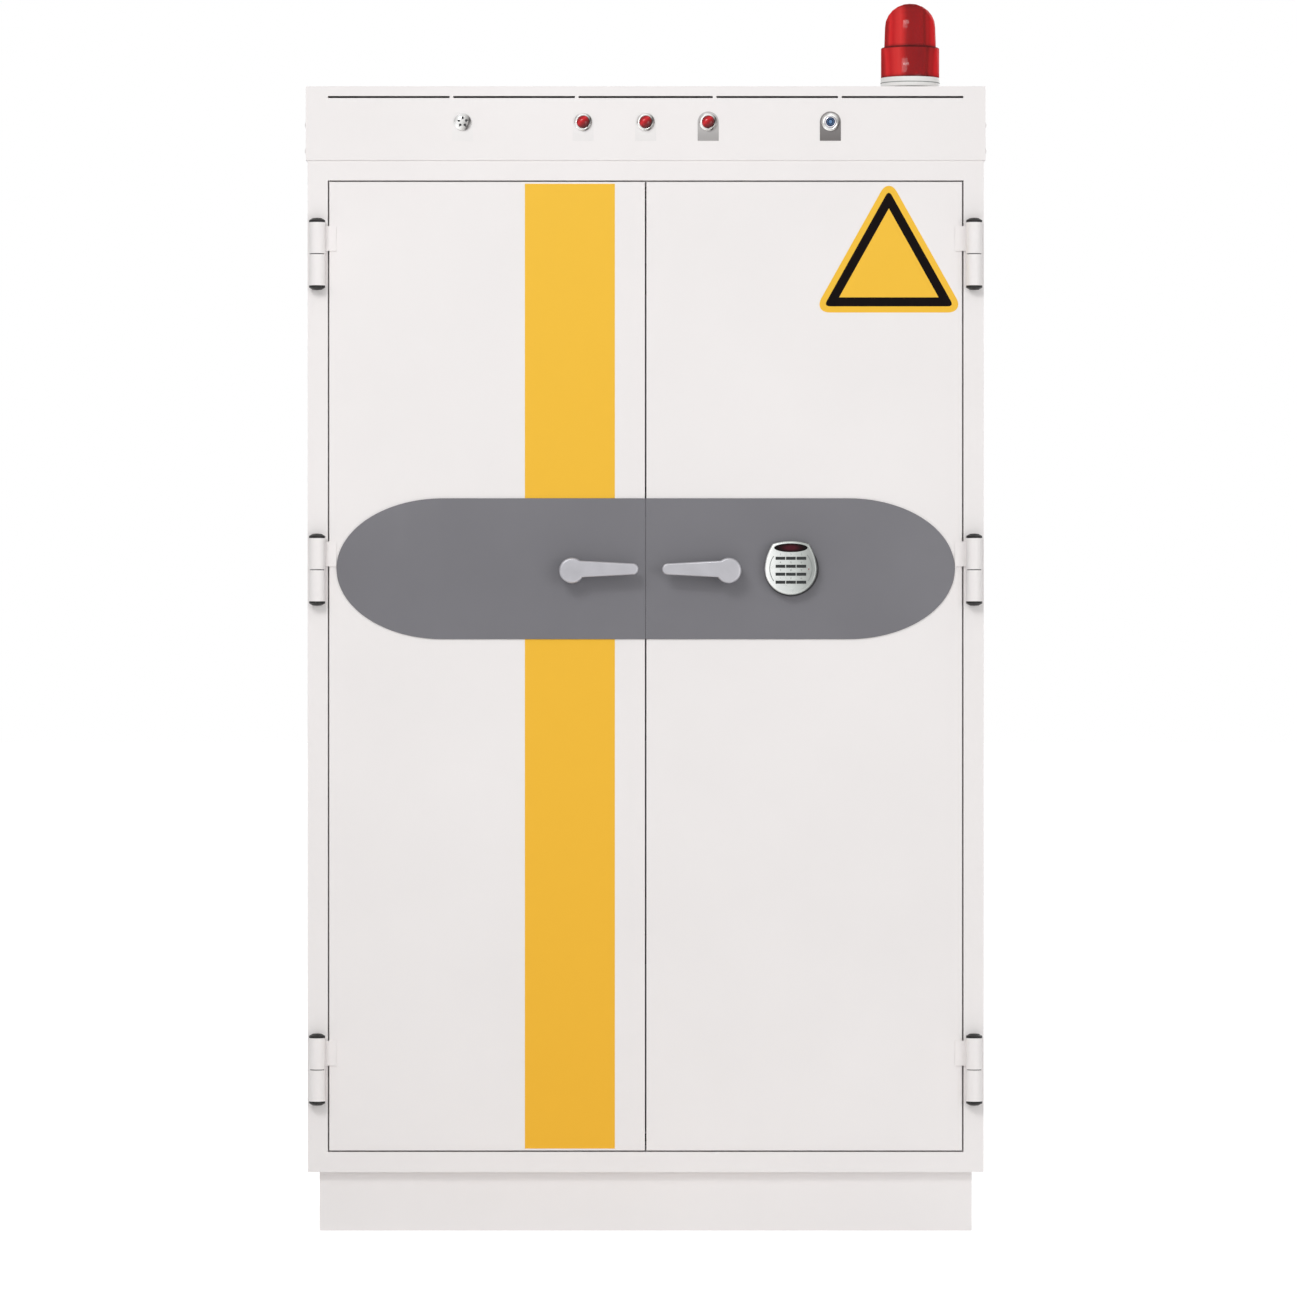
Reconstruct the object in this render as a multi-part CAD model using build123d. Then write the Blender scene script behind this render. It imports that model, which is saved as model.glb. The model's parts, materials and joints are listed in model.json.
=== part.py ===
"""Fire-resistant battery cabinet with two hinged doors, boltwork, keypad lock and control header.

Every piece is modelled with the front face of the body at y = 0, the floor at z = 0 and the
centre seam of the doors at x = 0; +y runs to the back. save() then moves it to the row's frame,
whose origin is the middle of the overall footprint on the floor.
"""

import math
import os

from build123d import *

os.makedirs("parts", exist_ok=True)

# ---------------------------------------------------------------- driving dimensions, mm
# Body
body_width = 1190
body_height = 1781
body_depth = 600
sheet = 1.5
wall_thickness = 70
frame_border = 35.5
plinth_height = 105
plinth_recess = 20
plinth_flange = 30
plinth_sheet = 2.5
board_gap = 0.5

# Doors
door_seam = 2.5
door_depth = 60
door_front_zone = 20
door_step = 10
door_edge_radius = 1.2
stop_gap = 3
seat_gap = 0.3
seal_width = 14
seal_inset = 4
door_swing = 180

# Hinges
hinge_out = 15
hinge_inset = 17.5
barrel_radius = 14.3
pin_radius = 7
pin_fit = 0.05
hinge_running_fit = 0.1
hinge_half_length = 55.5
hinge_gap = 1.6
cap_height = 8
leaf_lap = 12.6
leaf_thickness = 3.2
leaf_clearance = 0.6
leaf_height = 44
weld_pad_width = 16
hinge_low_inset = 181.5
hinge_middle_drop = 2
hinge_high_inset = 166

# Oval handle panel
oval_end_gap = 0.4
oval_height = 248
oval_end = 187
oval_thickness = 3
oval_edge_radius = 1
oval_gap = 0.6
oval_z = 1167

# Handles
left_pivot_x = -129.5
right_pivot_x = 145.6
pivot_drop = 3.5
pivot_z = oval_z - pivot_drop
handle_swing = 90
neck_radius = 13
neck_length = 25
hub_radius = 22.5
hub_thickness = 19
hub_edge_radius = 4.5
lever_reach = 117
lever_root_radius = 15.5
lever_tip_radius = 10
lever_thickness = 13
lever_edge_radius = 3.5
lever_lift = 2.5
drive_square = 10
drive_fit = 0.1

# Boltwork: a pinion on each handle spindle drives two opposed racks
pinion_teeth = 16
tooth_module = 1.5
pressure_angle = 25
backlash = 0.3
rack_depth = 8
rack_bar = 8
mech_y = 12
bolt_radius = 6
spindle_radius = 7
spindle_fit = 0.05
rack_clearance = 0.3
gearcase_half_height = 40
gearcase_side = 0.5
channel_half = 30
channel_floor = 22
bolt_hole_clearance = 0.6
bolt_draw_back = 1
strike_clearance = 2

# Electronic lock
keypad_x = 255
keypad_z = oval_z
keypad_radius = 46.2
keypad_base_radius = 48
keypad_base_thickness = 7
keypad_thickness = 20
keypad_edge_radius = 4
keypad_shoulder_x = 32
keypad_shoulder_z = 43.5
keypad_side_x = 42
keypad_side_z = 22
keypad_crown_z = 48.4
window_length = 59
window_height = 15.5
window_z = 36.5
window_depth = 2
key_columns = 3
key_rows = 4
key_width = 16.6
key_height = 5
key_pitch_x = 18.4
key_pitch_z = 14
key_top_z = 18
key_proud = 1.2
key_seat = 4.5
key_travel = 0.8
key_fit = 0.2
cable_hole_radius = 8
lock_case_width = 80
lock_case_height = 100
lock_case_depth = 18
lock_case_gap = 14
lock_case_drop = 20
lock_bolt_z = 60
lock_bolt_height = 10
lock_bolt_depth = 8
lock_bolt_length = 44
lock_bolt_fit = 0.2
lock_bolt_travel = 6.5
notch_depth = 5
notch_clearance = 0.5
pocket_clearance = 1

# Inside the body
shelf_count = 3
shelf_thickness = 28
shelf_sheet = 1.5
shelf_side_gap = 22
shelf_front_gap = 25
shelf_back_gap = 40.5
upright_width = 30
upright_depth = 18
upright_inset = 45
bracket_height = 12
bracket_reach = 20
strip_length = 440
strip_height = 55
strip_depth = 40
strip_drop = 110
socket_count = 5
socket_size = 44
socket_pitch = 80
socket_proud = 3
detector_radius = 52
detector_height = 38

# Control header
header_overhang = 3
header_height = 130
header_proud = 3
front_panel_thickness = 2
slot_height = 3.6
slot_drop = 19
slot_margin = 39
slot_bridge = 6.5
slot_middle = 236
slot_count_side = 2
device_z = 67
sounder_x = -322
lamp_pitch = 110
button_x = 325
device_hole_radius = 11.2
device_barrel_radius = 11
device_barrel_length = 34
bezel_radius = 15.75
bezel_proud = 5
bezel_chamfer = 1.6
lens_radius = 11
lens_proud = 6
lens_seat = 0.3
button_radius = 9.6
button_proud = 2.6
button_travel = 2.5
button_length = 14
button_fit = 0.25
sounder_radius = 15
sounder_proud = 7
sounder_ports = 5
port_length = 6
port_width = 2.6
port_circle = 8.5

# Extract fan and inlet in the back of the header
fan_inset = 168
fan_size = 92
fan_depth = 25
fan_bore_radius = 43
fan_hub_radius = 18
fan_tip_radius = 41.5
fan_blades = 7
fan_blade_angle = 38
fan_blade_thickness = 1.6
fan_spider = 5
fan_clearance = 0.3
louvre_count = 7
louvre_height = 4
louvre_pitch = 11
inlet_inset = 168
inlet_width = 27
inlet_height = 20
inlet_flange = 5
inlet_depth = 22
inlet_wall = 2.5
inlet_proud = 2.5
control_length = 300
control_width = 190
control_height = 85
screw_radius = 7
side_screw_rise = 2.6
roof_screw_rise = 1.2
screw_setback = 16
side_screw_heights = (17, 63)
roof_screw_insets = (21, 310)

# Beacon
beacon_inset = 129.5
beacon_y = 78
beacon_base_radius = 52.3
beacon_gasket_radius = 50.5
beacon_gasket = 4
beacon_base_height = 16.5
lens_wall = 2.5
lower_lens_radius = 51.5
lower_lens_height = 53.5
upper_lens_radius = 45.8
upper_lens_top_radius = 44.5
upper_lens_height = 37
dome_height = 42
dome_steps = 6
spigot_height = 4
lamp_post_radius = 9
lamp_post_height = 18
bulb_radius = 10
bulb_height = 34
turntable_radius = 36
turntable_thickness = 5
reflector_radius = 27
reflector_wall = 1.5
reflector_height = 46
reflector_sweep = 150

# ---------------------------------------------------------------- places that follow
body_half = body_width / 2
body_top = plinth_height + body_height
opening_half = body_half - frame_border
opening_bottom = plinth_height + frame_border
opening_top = body_top - frame_border
interior_half = body_half - wall_thickness
interior_bottom = plinth_height + wall_thickness
interior_top = body_top - wall_thickness
interior_back = body_depth - wall_thickness
jamb_depth = door_front_zone + door_seam
stop_y = door_depth + stop_gap

door_free = door_seam / 2
door_hinge_edge = opening_half - door_seam
door_bottom = opening_bottom + door_seam
door_top = opening_top - door_seam
hinge_x = body_half - hinge_inset
hinge_heights = (plinth_height + hinge_low_inset, oval_z - hinge_middle_drop, body_top - hinge_high_inset)

pitch_radius = pinion_teeth * tooth_module / 2
tooth_pitch = math.pi * tooth_module
addendum = tooth_module
dedendum = 1.25 * tooth_module
rack_back = pitch_radius + dedendum + rack_bar
rod_offset = rack_back - rack_bar / 2
bolt_throw = math.radians(handle_swing) * pitch_radius

oval_face = -oval_thickness
hub_back = oval_face - neck_length
handle_face = hub_back - hub_thickness
oval_half_length = door_hinge_edge - leaf_lap - oval_end_gap
keypad_base_face = oval_face - keypad_base_thickness
keypad_face = keypad_base_face - keypad_thickness

header_top = body_top + header_height
header_half = body_half + header_overhang
slot_edge = header_half - slot_margin
beacon_x = header_half - beacon_inset
fan_x = header_half - fan_inset
inlet_x = inlet_inset - header_half
panel_face = -header_proud
panel_back = panel_face + front_panel_thickness
device_height = body_top + device_z
gasket_top = header_top + beacon_gasket
beacon_base_top = gasket_top + beacon_base_height

shelf_spacing = (interior_top - interior_bottom) / (shelf_count + 1)
shelf_tops = [interior_bottom + shelf_spacing * (level + 1) for level in range(shelf_count)]
shelf_front = stop_y + sheet + shelf_front_gap
shelf_back = interior_back - shelf_back_gap

overall_front = min(handle_face, keypad_face - key_proud)
overall_back = body_depth + inlet_proud
frame_shift = -(overall_front + overall_back) / 2


# ---------------------------------------------------------------- building blocks
def block(x0, x1, y0, y1, z0, z1):
    """Box between two opposite corners, given in any order along x."""
    centre = Pos((x0 + x1) / 2, (y0 + y1) / 2, (z0 + z1) / 2)
    return centre * Box(abs(x1 - x0), y1 - y0, z1 - z0)


def round_y(radius, x, z, y0, y1):
    """Cylinder along y."""
    return Pos(x, (y0 + y1) / 2, z) * Rot(90, 0, 0) * Cylinder(radius, y1 - y0)


def round_z(radius, x, y, z0, z1):
    """Cylinder along z."""
    return Pos(x, y, (z0 + z1) / 2) * Cylinder(radius, z1 - z0)


def facing(x, y, z):
    """Plane seen from the front: its own y is up and its normal points out of the face."""
    return Plane(origin=(x, y, z), x_dir=(1, 0, 0), z_dir=(0, -1, 0))


def body_block(inset, y0, y1):
    """Block with the outline of the body, drawn in by inset on every side."""
    return block(
        -body_half + inset, body_half - inset, y0, y1, plinth_height + inset, body_top - inset
    )


def opening_block(grow, y0, y1):
    """Block with the outline of the doorway, grown by grow on every side."""
    return block(
        -opening_half - grow, opening_half + grow, y0, y1, opening_bottom - grow, opening_top + grow
    )


def rim(outer, inner, y0, y1):
    """Rectangular ring round the doorway."""
    return opening_block(outer, y0, y1) - opening_block(inner, y0 - 1, y1 + 1)


def front_edges(solid, y):
    """Edges that lie in the plane y."""
    return solid.edges().filter_by(lambda edge: all(abs(v.Y - y) < 1e-4 for v in edge.vertices()))


def save(name, solids):
    """Moves one node to the row's frame and writes its STEP file."""
    solids = solids if isinstance(solids, list) else [solids]
    bodies = [solid for shape in solids for solid in shape.solids()]
    moved = [Pos(0, frame_shift, 0) * solid for solid in bodies]
    shape = moved[0] if len(moved) == 1 else Compound(children=moved)
    shape.label = name
    export_step(shape, f"parts/{name}.step")


# ---------------------------------------------------------------- plinth
def plinth_rails():
    """Four folded channels, 30 mm flanges inwards, that carry the body clear of the floor."""
    half = body_half - plinth_recess
    front = plinth_recess
    back = body_depth - plinth_recess
    rails = []
    for near, inward in ((front, 1), (back, -1)):
        web = sorted((near, near + inward * plinth_sheet))
        lip = sorted((near, near + inward * plinth_flange))
        rail = block(-half, half, *web, 0, plinth_height)
        rail += block(-half, half, *lip, 0, plinth_sheet)
        rail += block(-half, half, *lip, plinth_height - plinth_sheet, plinth_height)
        rails.append(rail)
    web_ends = (front + plinth_sheet, back - plinth_sheet)
    flange_ends = (front + plinth_flange, back - plinth_flange)
    for side in (-1, 1):
        outer = side * half
        inner = outer - side * plinth_sheet
        rail = block(outer, inner, *web_ends, plinth_sheet, plinth_height - plinth_sheet)
        for z in (0, plinth_height - plinth_sheet):
            rail += block(outer, outer - side * plinth_flange, *flange_ends, z, z + plinth_sheet)
        rails.append(rail)
    return rails


# ---------------------------------------------------------------- body
def rod_places():
    """Side (-1 left, 1 right), direction (1 up, -1 down) and x of each lock rod."""
    places = []
    for side, pivot in ((-1, left_pivot_x), (1, right_pivot_x)):
        for way in (1, -1):
            places.append((side, way, pivot + side * way * rod_offset))
    return places


def strike_holes(radius, depth):
    """Round sockets over and under the doorway that the thrown rods enter."""
    holes = []
    for side, way, x in rod_places():
        edge = opening_top if way > 0 else opening_bottom
        holes.append(round_z(radius, x, mech_y, *sorted((edge - way, edge + way * depth))))
    return holes


def outer_casing():
    """Welded steel shell with a front frame and a stepped jamb, folded from 1.5 mm sheet."""
    shell = body_block(0, 0, body_depth) - body_block(sheet, sheet, body_depth - sheet)
    shell -= opening_block(0, -1, sheet + 1)
    shell += rim(sheet, 0, 0, jamb_depth + sheet)
    shell += rim(sheet, -door_step, jamb_depth, jamb_depth + sheet)
    shell += rim(sheet - door_step, -door_step, jamb_depth, stop_y + sheet)
    for hole in strike_holes(bolt_radius + strike_clearance, sheet + 1):
        shell -= hole
    return shell


def insulation():
    """Fire boards between casing and liner: back, sides, top and bottom, and four jamb strips."""
    inner_front = stop_y + sheet + board_gap
    outer_back = body_depth - sheet
    inner_back = interior_back + sheet + board_gap
    half = body_half - sheet
    low = plinth_height + sheet
    high = body_top - sheet
    side_in = interior_half + sheet
    floor_top = interior_bottom - sheet
    ceiling = interior_top + sheet
    boards = [block(-half, half, inner_back, outer_back, low, high)]
    for side in (-1, 1):
        boards.append(block(side * side_in, side * half, inner_front, inner_back - board_gap, low, high))
    reach = side_in - board_gap
    boards.append(block(-reach, reach, inner_front, inner_back - board_gap, low, floor_top))
    boards.append(block(-reach, reach, inner_front, inner_back - board_gap, ceiling, high))
    strip_in = opening_half + sheet
    strips = [block(side * strip_in, side * half, sheet, stop_y + sheet, low, high) for side in (-1, 1)]
    reach = strip_in - board_gap
    for near, far in ((low, opening_bottom - sheet), (opening_top + sheet, high)):
        strip = block(-reach, reach, sheet, stop_y + sheet, near, far)
        for hole in strike_holes(bolt_radius + strike_clearance, bolt_throw + strike_clearance):
            strip -= hole
        strips.append(strip)
    return boards + strips


def liner():
    """Inner tray with a lip all round, which the seal and the doors close against."""
    lip_in = interior_half - opening_half
    tray = block(
        -interior_half - sheet, interior_half + sheet, stop_y, interior_back + sheet,
        interior_bottom - sheet, interior_top + sheet,
    )
    tray -= block(
        -interior_half, interior_half, stop_y - 1, interior_back, interior_bottom, interior_top
    )
    return tray + rim(-door_step, lip_in, stop_y, stop_y + sheet)


def door_seal():
    """Flat intumescent seal on the liner's lip, behind the edges of both doors."""
    outer = -door_step - seal_inset
    return rim(outer, outer - seal_width, door_depth + seat_gap, stop_y)


# ---------------------------------------------------------------- hinges
def knuckle(side, z0, z1, bore):
    """Round barrel of one hinge half."""
    return round_z(barrel_radius, side * hinge_x, -hinge_out, z0, z1) - round_z(
        bore, side * hinge_x, -hinge_out, z0 - 1, z1 + 1
    )


def frame_knuckle(side, middle):
    """Lower hinge half, welded to the front frame on a pad."""
    low = middle - hinge_half_length
    high = middle - hinge_gap / 2
    x = side * hinge_x
    pad = block(x - weld_pad_width / 2, x + weld_pad_width / 2, -hinge_out / 2, 0, low, high)
    pad -= round_z(barrel_radius - 1, x, -hinge_out, low - 1, high + 1)
    return pad + knuckle(side, low, high, pin_radius + pin_fit)


def door_knuckle(side, middle):
    """Upper hinge half: a barrel with a leaf that laps onto the face of the door."""
    low = middle + hinge_gap / 2
    high = middle + hinge_half_length
    centre = (low + high) / 2
    span = (centre - leaf_height / 2, centre + leaf_height / 2)
    bore = pin_radius + hinge_running_fit
    lap = block(
        side * (door_hinge_edge - leaf_lap), side * door_hinge_edge, -leaf_thickness, 0, *span
    )
    arm = block(
        side * (door_hinge_edge - 1), side * hinge_x, -leaf_thickness, -leaf_clearance, *span
    )
    arm -= round_z(bore, side * hinge_x, -hinge_out, low - 1, high + 1)
    return lap + arm + knuckle(side, low, high, bore)


def hinge_pin(side, middle):
    """Pin with a collar between the knuckles and a domed end above and below."""
    low = middle - hinge_half_length
    high = middle + hinge_half_length
    collar = (middle - hinge_gap / 2, middle + hinge_gap / 2 - seat_gap)
    head = high + seat_gap
    crown = barrel_radius * 0.55
    cap_side = cap_height * 0.45
    profile = Polyline(
        (0, low - cap_height), (crown, low - cap_height + cap_side * 0.2),
        (barrel_radius, low - cap_side), (barrel_radius, low), (pin_radius, low),
        (pin_radius, collar[0]), (barrel_radius - 2, collar[0]), (barrel_radius - 2, collar[1]),
        (pin_radius, collar[1]), (pin_radius, head), (barrel_radius, head),
        (barrel_radius, head + cap_side), (crown, head + cap_height - cap_side * 0.2),
        (0, head + cap_height), close=True,
    )
    pin = revolve(Plane.XZ * make_face(profile), Axis.Z)
    return Pos(side * hinge_x, -hinge_out, 0) * pin


# ---------------------------------------------------------------- doors
def door_span(side, inset_free, inset_hinge):
    """Left and right limits of a door piece, drawn in at its free and hinge edges."""
    return side * (door_free + inset_free), side * (door_hinge_edge - inset_hinge)


def door_pan(side, pivot):
    """Outer sheet of a door, folded back all round."""
    pan = block(*door_span(side, 0, 0), 0, door_front_zone, door_bottom, door_top)
    pan = fillet(front_edges(pan, 0), door_edge_radius)
    pan -= block(
        *door_span(side, sheet, sheet), sheet, door_front_zone + 1, door_bottom + sheet, door_top - sheet
    )
    pan -= round_y(spindle_radius + 1, pivot, pivot_z, -1, sheet + 1)
    for rod_side, way, x in rod_places():
        if rod_side == side:
            edge = door_top if way > 0 else door_bottom
            pan -= round_z(bolt_radius + bolt_hole_clearance, x, mech_y, edge - 3, edge + 3)
    if side > 0:
        pan -= round_y(cable_hole_radius, keypad_x, keypad_z, -1, sheet + 1)
    return pan


def lock_case_box(grow, y0, y1):
    """Outline of the lock case, between the right-hand rod and the keypad."""
    left = right_pivot_x + rod_offset + bolt_radius + lock_case_gap
    low = pivot_z - lock_case_drop
    return block(
        left - grow, left + lock_case_width + grow, y0, y1,
        low - grow, low + lock_case_height + grow,
    )


def door_core(side, pivot):
    """Insulated slab with its inner pan: full width in front, stepped back behind."""
    slab = block(
        *door_span(side, sheet, sheet), sheet, door_front_zone, door_bottom + sheet, door_top - sheet
    )
    slab += block(
        *door_span(side, door_step, door_step), door_front_zone, door_depth,
        door_bottom + door_step, door_top - door_step,
    )
    slab -= block(
        pivot - channel_half, pivot + channel_half, 0, channel_floor, door_bottom, door_top
    )
    if side > 0:
        slab -= lock_case_box(pocket_clearance, 0, channel_floor)
        channel_wall = pivot + channel_half
        case_wall = pivot + rod_offset + bolt_radius + lock_case_gap
        if case_wall > channel_wall:
            half = lock_bolt_height / 2 + pocket_clearance
            slab -= block(
                channel_wall - 1, case_wall, 0, channel_floor,
                pivot_z + lock_bolt_z - half, pivot_z + lock_bolt_z + half,
            )
    return slab


def oval_half(side, pivot):
    """Half of the raised oval panel that the handles and the keypad sit on."""
    straight = oval_half_length - oval_end
    outline = Rectangle(2 * straight, oval_height)
    for end in (-1, 1):
        outline += Pos(end * straight, 0) * Ellipse(oval_end, oval_height / 2)
    panel = extrude(facing(0, 0, oval_z) * outline, amount=oval_thickness)
    panel = fillet(front_edges(panel, oval_face), oval_edge_radius)
    keep = block(
        side * oval_gap / 2, side * (oval_half_length + 1), oval_face - 1, 1,
        oval_z - oval_height, oval_z + oval_height,
    )
    half = panel & keep
    half -= round_y(spindle_radius + 1, pivot, pivot_z, oval_face - 1, 1)
    if side > 0:
        half -= round_y(cable_hole_radius, keypad_x, keypad_z, oval_face - 1, 1)
    return half


# ---------------------------------------------------------------- handles and boltwork
def handle(side, pivot):
    """Cast lever with a round hub on a neck; its tip points to the centre seam."""
    lever_front = handle_face
    ends = Circle(lever_root_radius).edges()
    tip_x = -side * (lever_reach - lever_tip_radius)
    ends += (Pos(tip_x, 0) * Circle(lever_tip_radius)).edges()
    blade_plane = facing(pivot, lever_front + lever_thickness, pivot_z + lever_lift)
    blade = extrude(blade_plane * make_hull(ends), amount=lever_thickness)
    blade = fillet(front_edges(blade, lever_front), lever_edge_radius)
    hub = round_y(hub_radius, pivot, pivot_z, handle_face, hub_back)
    hub = fillet(front_edges(hub, handle_face), hub_edge_radius)
    neck_end = oval_face - seat_gap
    neck = round_y(neck_radius, pivot, pivot_z, hub_back, neck_end)
    socket = drive_square / 2 + drive_fit
    depth = neck_length + hub_thickness / 2
    drive = block(
        pivot - socket, pivot + socket, neck_end - depth, neck_end + 1,
        pivot_z - socket, pivot_z + socket,
    )
    return blade + hub + neck - drive


def involute_point(base_radius, radius):
    """Radius and swept angle of the involute of a circle, at a given radius."""
    roll = math.sqrt((radius / base_radius) ** 2 - 1)
    return radius, roll - math.atan(roll)


def pinion_outline():
    """Outline of a spur pinion with involute flanks and a tooth centred on the x axis."""
    base_radius = pitch_radius * math.cos(math.radians(pressure_angle))
    root_radius = pitch_radius - dedendum
    tip_radius = pitch_radius + addendum
    at_pitch = involute_point(base_radius, pitch_radius)[1]
    half_tooth = math.pi / (2 * pinion_teeth) + at_pitch
    radii = [base_radius + (tip_radius - base_radius) * step / 3 for step in range(4)]
    flank = [(root_radius, half_tooth)]
    for radius in radii:
        reach, swept = involute_point(base_radius, max(radius, base_radius))
        flank.append((reach, half_tooth - swept))
    points = []
    for tooth in range(pinion_teeth):
        centre = 2 * math.pi * tooth / pinion_teeth
        for radius, angle in flank:
            points.append((radius * math.cos(centre - angle), radius * math.sin(centre - angle)))
        for radius, angle in reversed(flank):
            points.append((radius * math.cos(centre + angle), radius * math.sin(centre + angle)))
    return make_face(Polyline(*points, close=True))


def spindle(pivot):
    """Handle spindle: square end for the handle, round bearing journals and the pinion."""
    gear_front = mech_y - rack_depth / 2
    gear_back = mech_y + rack_depth / 2
    shaft_front = oval_face - seat_gap
    shaft_back = channel_floor - seat_gap
    square = drive_square / 2
    drive_end = oval_face - neck_length - hub_thickness / 2 + 2 * seat_gap
    shaft = round_y(spindle_radius, pivot, pivot_z, shaft_front, shaft_back)
    shaft += block(
        pivot - square, pivot + square, drive_end, shaft_front, pivot_z - square, pivot_z + square
    )
    gear = extrude(facing(pivot, gear_back, pivot_z) * pinion_outline(), amount=gear_back - gear_front)
    return shaft + gear


def gearcase(pivot):
    """Housing round the pinion that guides both racks and carries the spindle."""
    half = channel_half - gearcase_side
    front = sheet + gearcase_side
    case = block(
        pivot - half, pivot + half, front, channel_floor,
        pivot_z - gearcase_half_height, pivot_z + gearcase_half_height,
    )
    guide = rack_back + rack_clearance
    reach = rack_depth / 2 + rack_clearance
    case -= block(
        pivot - guide, pivot + guide, mech_y - reach, mech_y + reach,
        pivot_z - gearcase_half_height - 1, pivot_z + gearcase_half_height + 1,
    )
    return case - round_y(spindle_radius + spindle_fit, pivot, pivot_z, front - 1, channel_floor + 1)


def rack_teeth(lateral, first, last):
    """Straight-sided rack teeth between two heights, facing the pinion; a gap lies at height 0."""
    slope = math.tan(math.radians(pressure_angle))
    half = tooth_pitch / 4 - backlash / 2
    tip = half - addendum * slope
    root = half + dedendum * slope
    teeth = []
    count = math.floor(last / tooth_pitch - 0.5)
    index = math.ceil(first / tooth_pitch - 0.5)
    while index <= count:
        z = (index + 0.5) * tooth_pitch
        near = lateral * (pitch_radius - addendum)
        far = lateral * (pitch_radius + dedendum)
        teeth.append(make_face(Polyline(
            (near, z - tip), (far, z - root), (far, z + root), (near, z + tip), close=True
        )))
        index += 1
    return teeth


def lock_rod(side, way, pivot):
    """Lock rod: a rack beside the pinion that runs on as a round bolt to the door's edge."""
    lateral = side * way
    mesh = 2 * tooth_pitch
    tail = -way * (bolt_throw + mesh)
    x = pivot + lateral * rod_offset
    depth = (mech_y - rack_depth / 2, mech_y + rack_depth / 2)
    head = way * (gearcase_half_height + 2 * bolt_radius)
    bar = block(
        pivot + lateral * (pitch_radius + dedendum), pivot + lateral * rack_back, *depth,
        *sorted((pivot_z + tail, pivot_z + head)),
    )
    for tooth in rack_teeth(lateral, *sorted((tail, way * mesh))):
        bar += extrude(facing(pivot, depth[1], pivot_z) * tooth, amount=rack_depth)
    edge = door_top if way > 0 else door_bottom
    bolt_start = pivot_z + way * (gearcase_half_height + seat_gap)
    bolt = round_z(bolt_radius, x, mech_y, *sorted((bolt_start, edge - way * bolt_draw_back)))
    rod = bar + bolt
    if side > 0 and way > 0:
        cut = lock_bolt_height / 2 + notch_clearance
        for level in (lock_bolt_z, lock_bolt_z - bolt_throw):
            rod -= block(
                x + bolt_radius - notch_depth, x + 2 * bolt_radius,
                mech_y - 2 * bolt_radius, mech_y + 2 * bolt_radius,
                pivot_z + level - cut, pivot_z + level + cut,
            )
    return rod


# ---------------------------------------------------------------- electronic lock
def lock_bolt_block(grow, x0, x1):
    """Straight bar of the lock bolt's section, grown by a fit."""
    half_y = lock_bolt_depth / 2 + grow
    half_z = lock_bolt_height / 2 + grow
    level = pivot_z + lock_bolt_z
    return block(x0, x1, mech_y - half_y, mech_y + half_y, level - half_z, level + half_z)


def lock_case():
    """Motor lock case, screwed to the floor of its pocket, with a slideway for the bolt."""
    case = lock_case_box(0, channel_floor - lock_case_depth, channel_floor)
    left = right_pivot_x + rod_offset + bolt_radius + lock_case_gap
    return case - lock_bolt_block(lock_bolt_fit, left - 1, left + lock_bolt_length)


def lock_bolt():
    """Sliding bolt, drawn clear of the rod."""
    rod_side = right_pivot_x + rod_offset + bolt_radius
    tip = rod_side + lock_bolt_travel - notch_depth + notch_clearance
    return lock_bolt_block(0, tip, tip + lock_bolt_length)


def keypad_outline(inset):
    """Round body that narrows to a shallow crown over the display."""
    radius = keypad_radius - inset
    shoulder = (keypad_shoulder_x - inset, keypad_shoulder_z - inset)
    side_point = (keypad_side_x - inset, keypad_side_z - inset / 2)
    crown = (0, keypad_crown_z - inset)
    outline = Curve() + [
        ThreePointArc((-radius, 0), (0, -radius), (radius, 0)),
        ThreePointArc((radius, 0), side_point, shoulder),
        ThreePointArc(shoulder, crown, (-shoulder[0], shoulder[1])),
        ThreePointArc((-shoulder[0], shoulder[1]), (-side_point[0], side_point[1]), (-radius, 0)),
    ]
    return make_face(outline)


def key_places():
    """Number, x and z of each key, row by row from the top."""
    places = []
    for row in range(key_rows):
        for column in range(key_columns):
            x = keypad_x + (column - (key_columns - 1) / 2) * key_pitch_x
            z = keypad_z + key_top_z - row * key_pitch_z
            places.append((row * key_columns + column + 1, x, z))
    return places


def keypad_body():
    """Silver keypad housing with a display recess and a slot for every key."""
    body = extrude(facing(keypad_x, keypad_base_face, keypad_z) * keypad_outline(0), amount=keypad_thickness)
    body = fillet(front_edges(body, keypad_face), keypad_edge_radius)
    window = Ellipse(window_length / 2, window_height / 2)
    recess = facing(keypad_x, keypad_face + window_depth, keypad_z + window_z)
    body -= extrude(recess * window, amount=2 * window_depth)
    floor = keypad_face + key_seat + key_travel + seat_gap
    for _, x, z in key_places():
        body -= block(
            x - key_width / 2 - key_fit, x + key_width / 2 + key_fit, keypad_face - 1, floor,
            z - key_height / 2 - key_fit, z + key_height / 2 + key_fit,
        )
    return body


def display_window():
    """Dark window set in its recess."""
    window = Ellipse(window_length / 2 - key_fit, window_height / 2 - key_fit)
    place = facing(keypad_x, keypad_face + window_depth, keypad_z + window_z)
    return extrude(place * window, amount=window_depth - seat_gap)


def key(x, z):
    """One bar key."""
    bar = block(
        x - key_width / 2, x + key_width / 2, keypad_face - key_proud, keypad_face + key_seat,
        z - key_height / 2, z + key_height / 2,
    )
    return fillet(front_edges(bar, keypad_face - key_proud), key_proud / 2)


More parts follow.
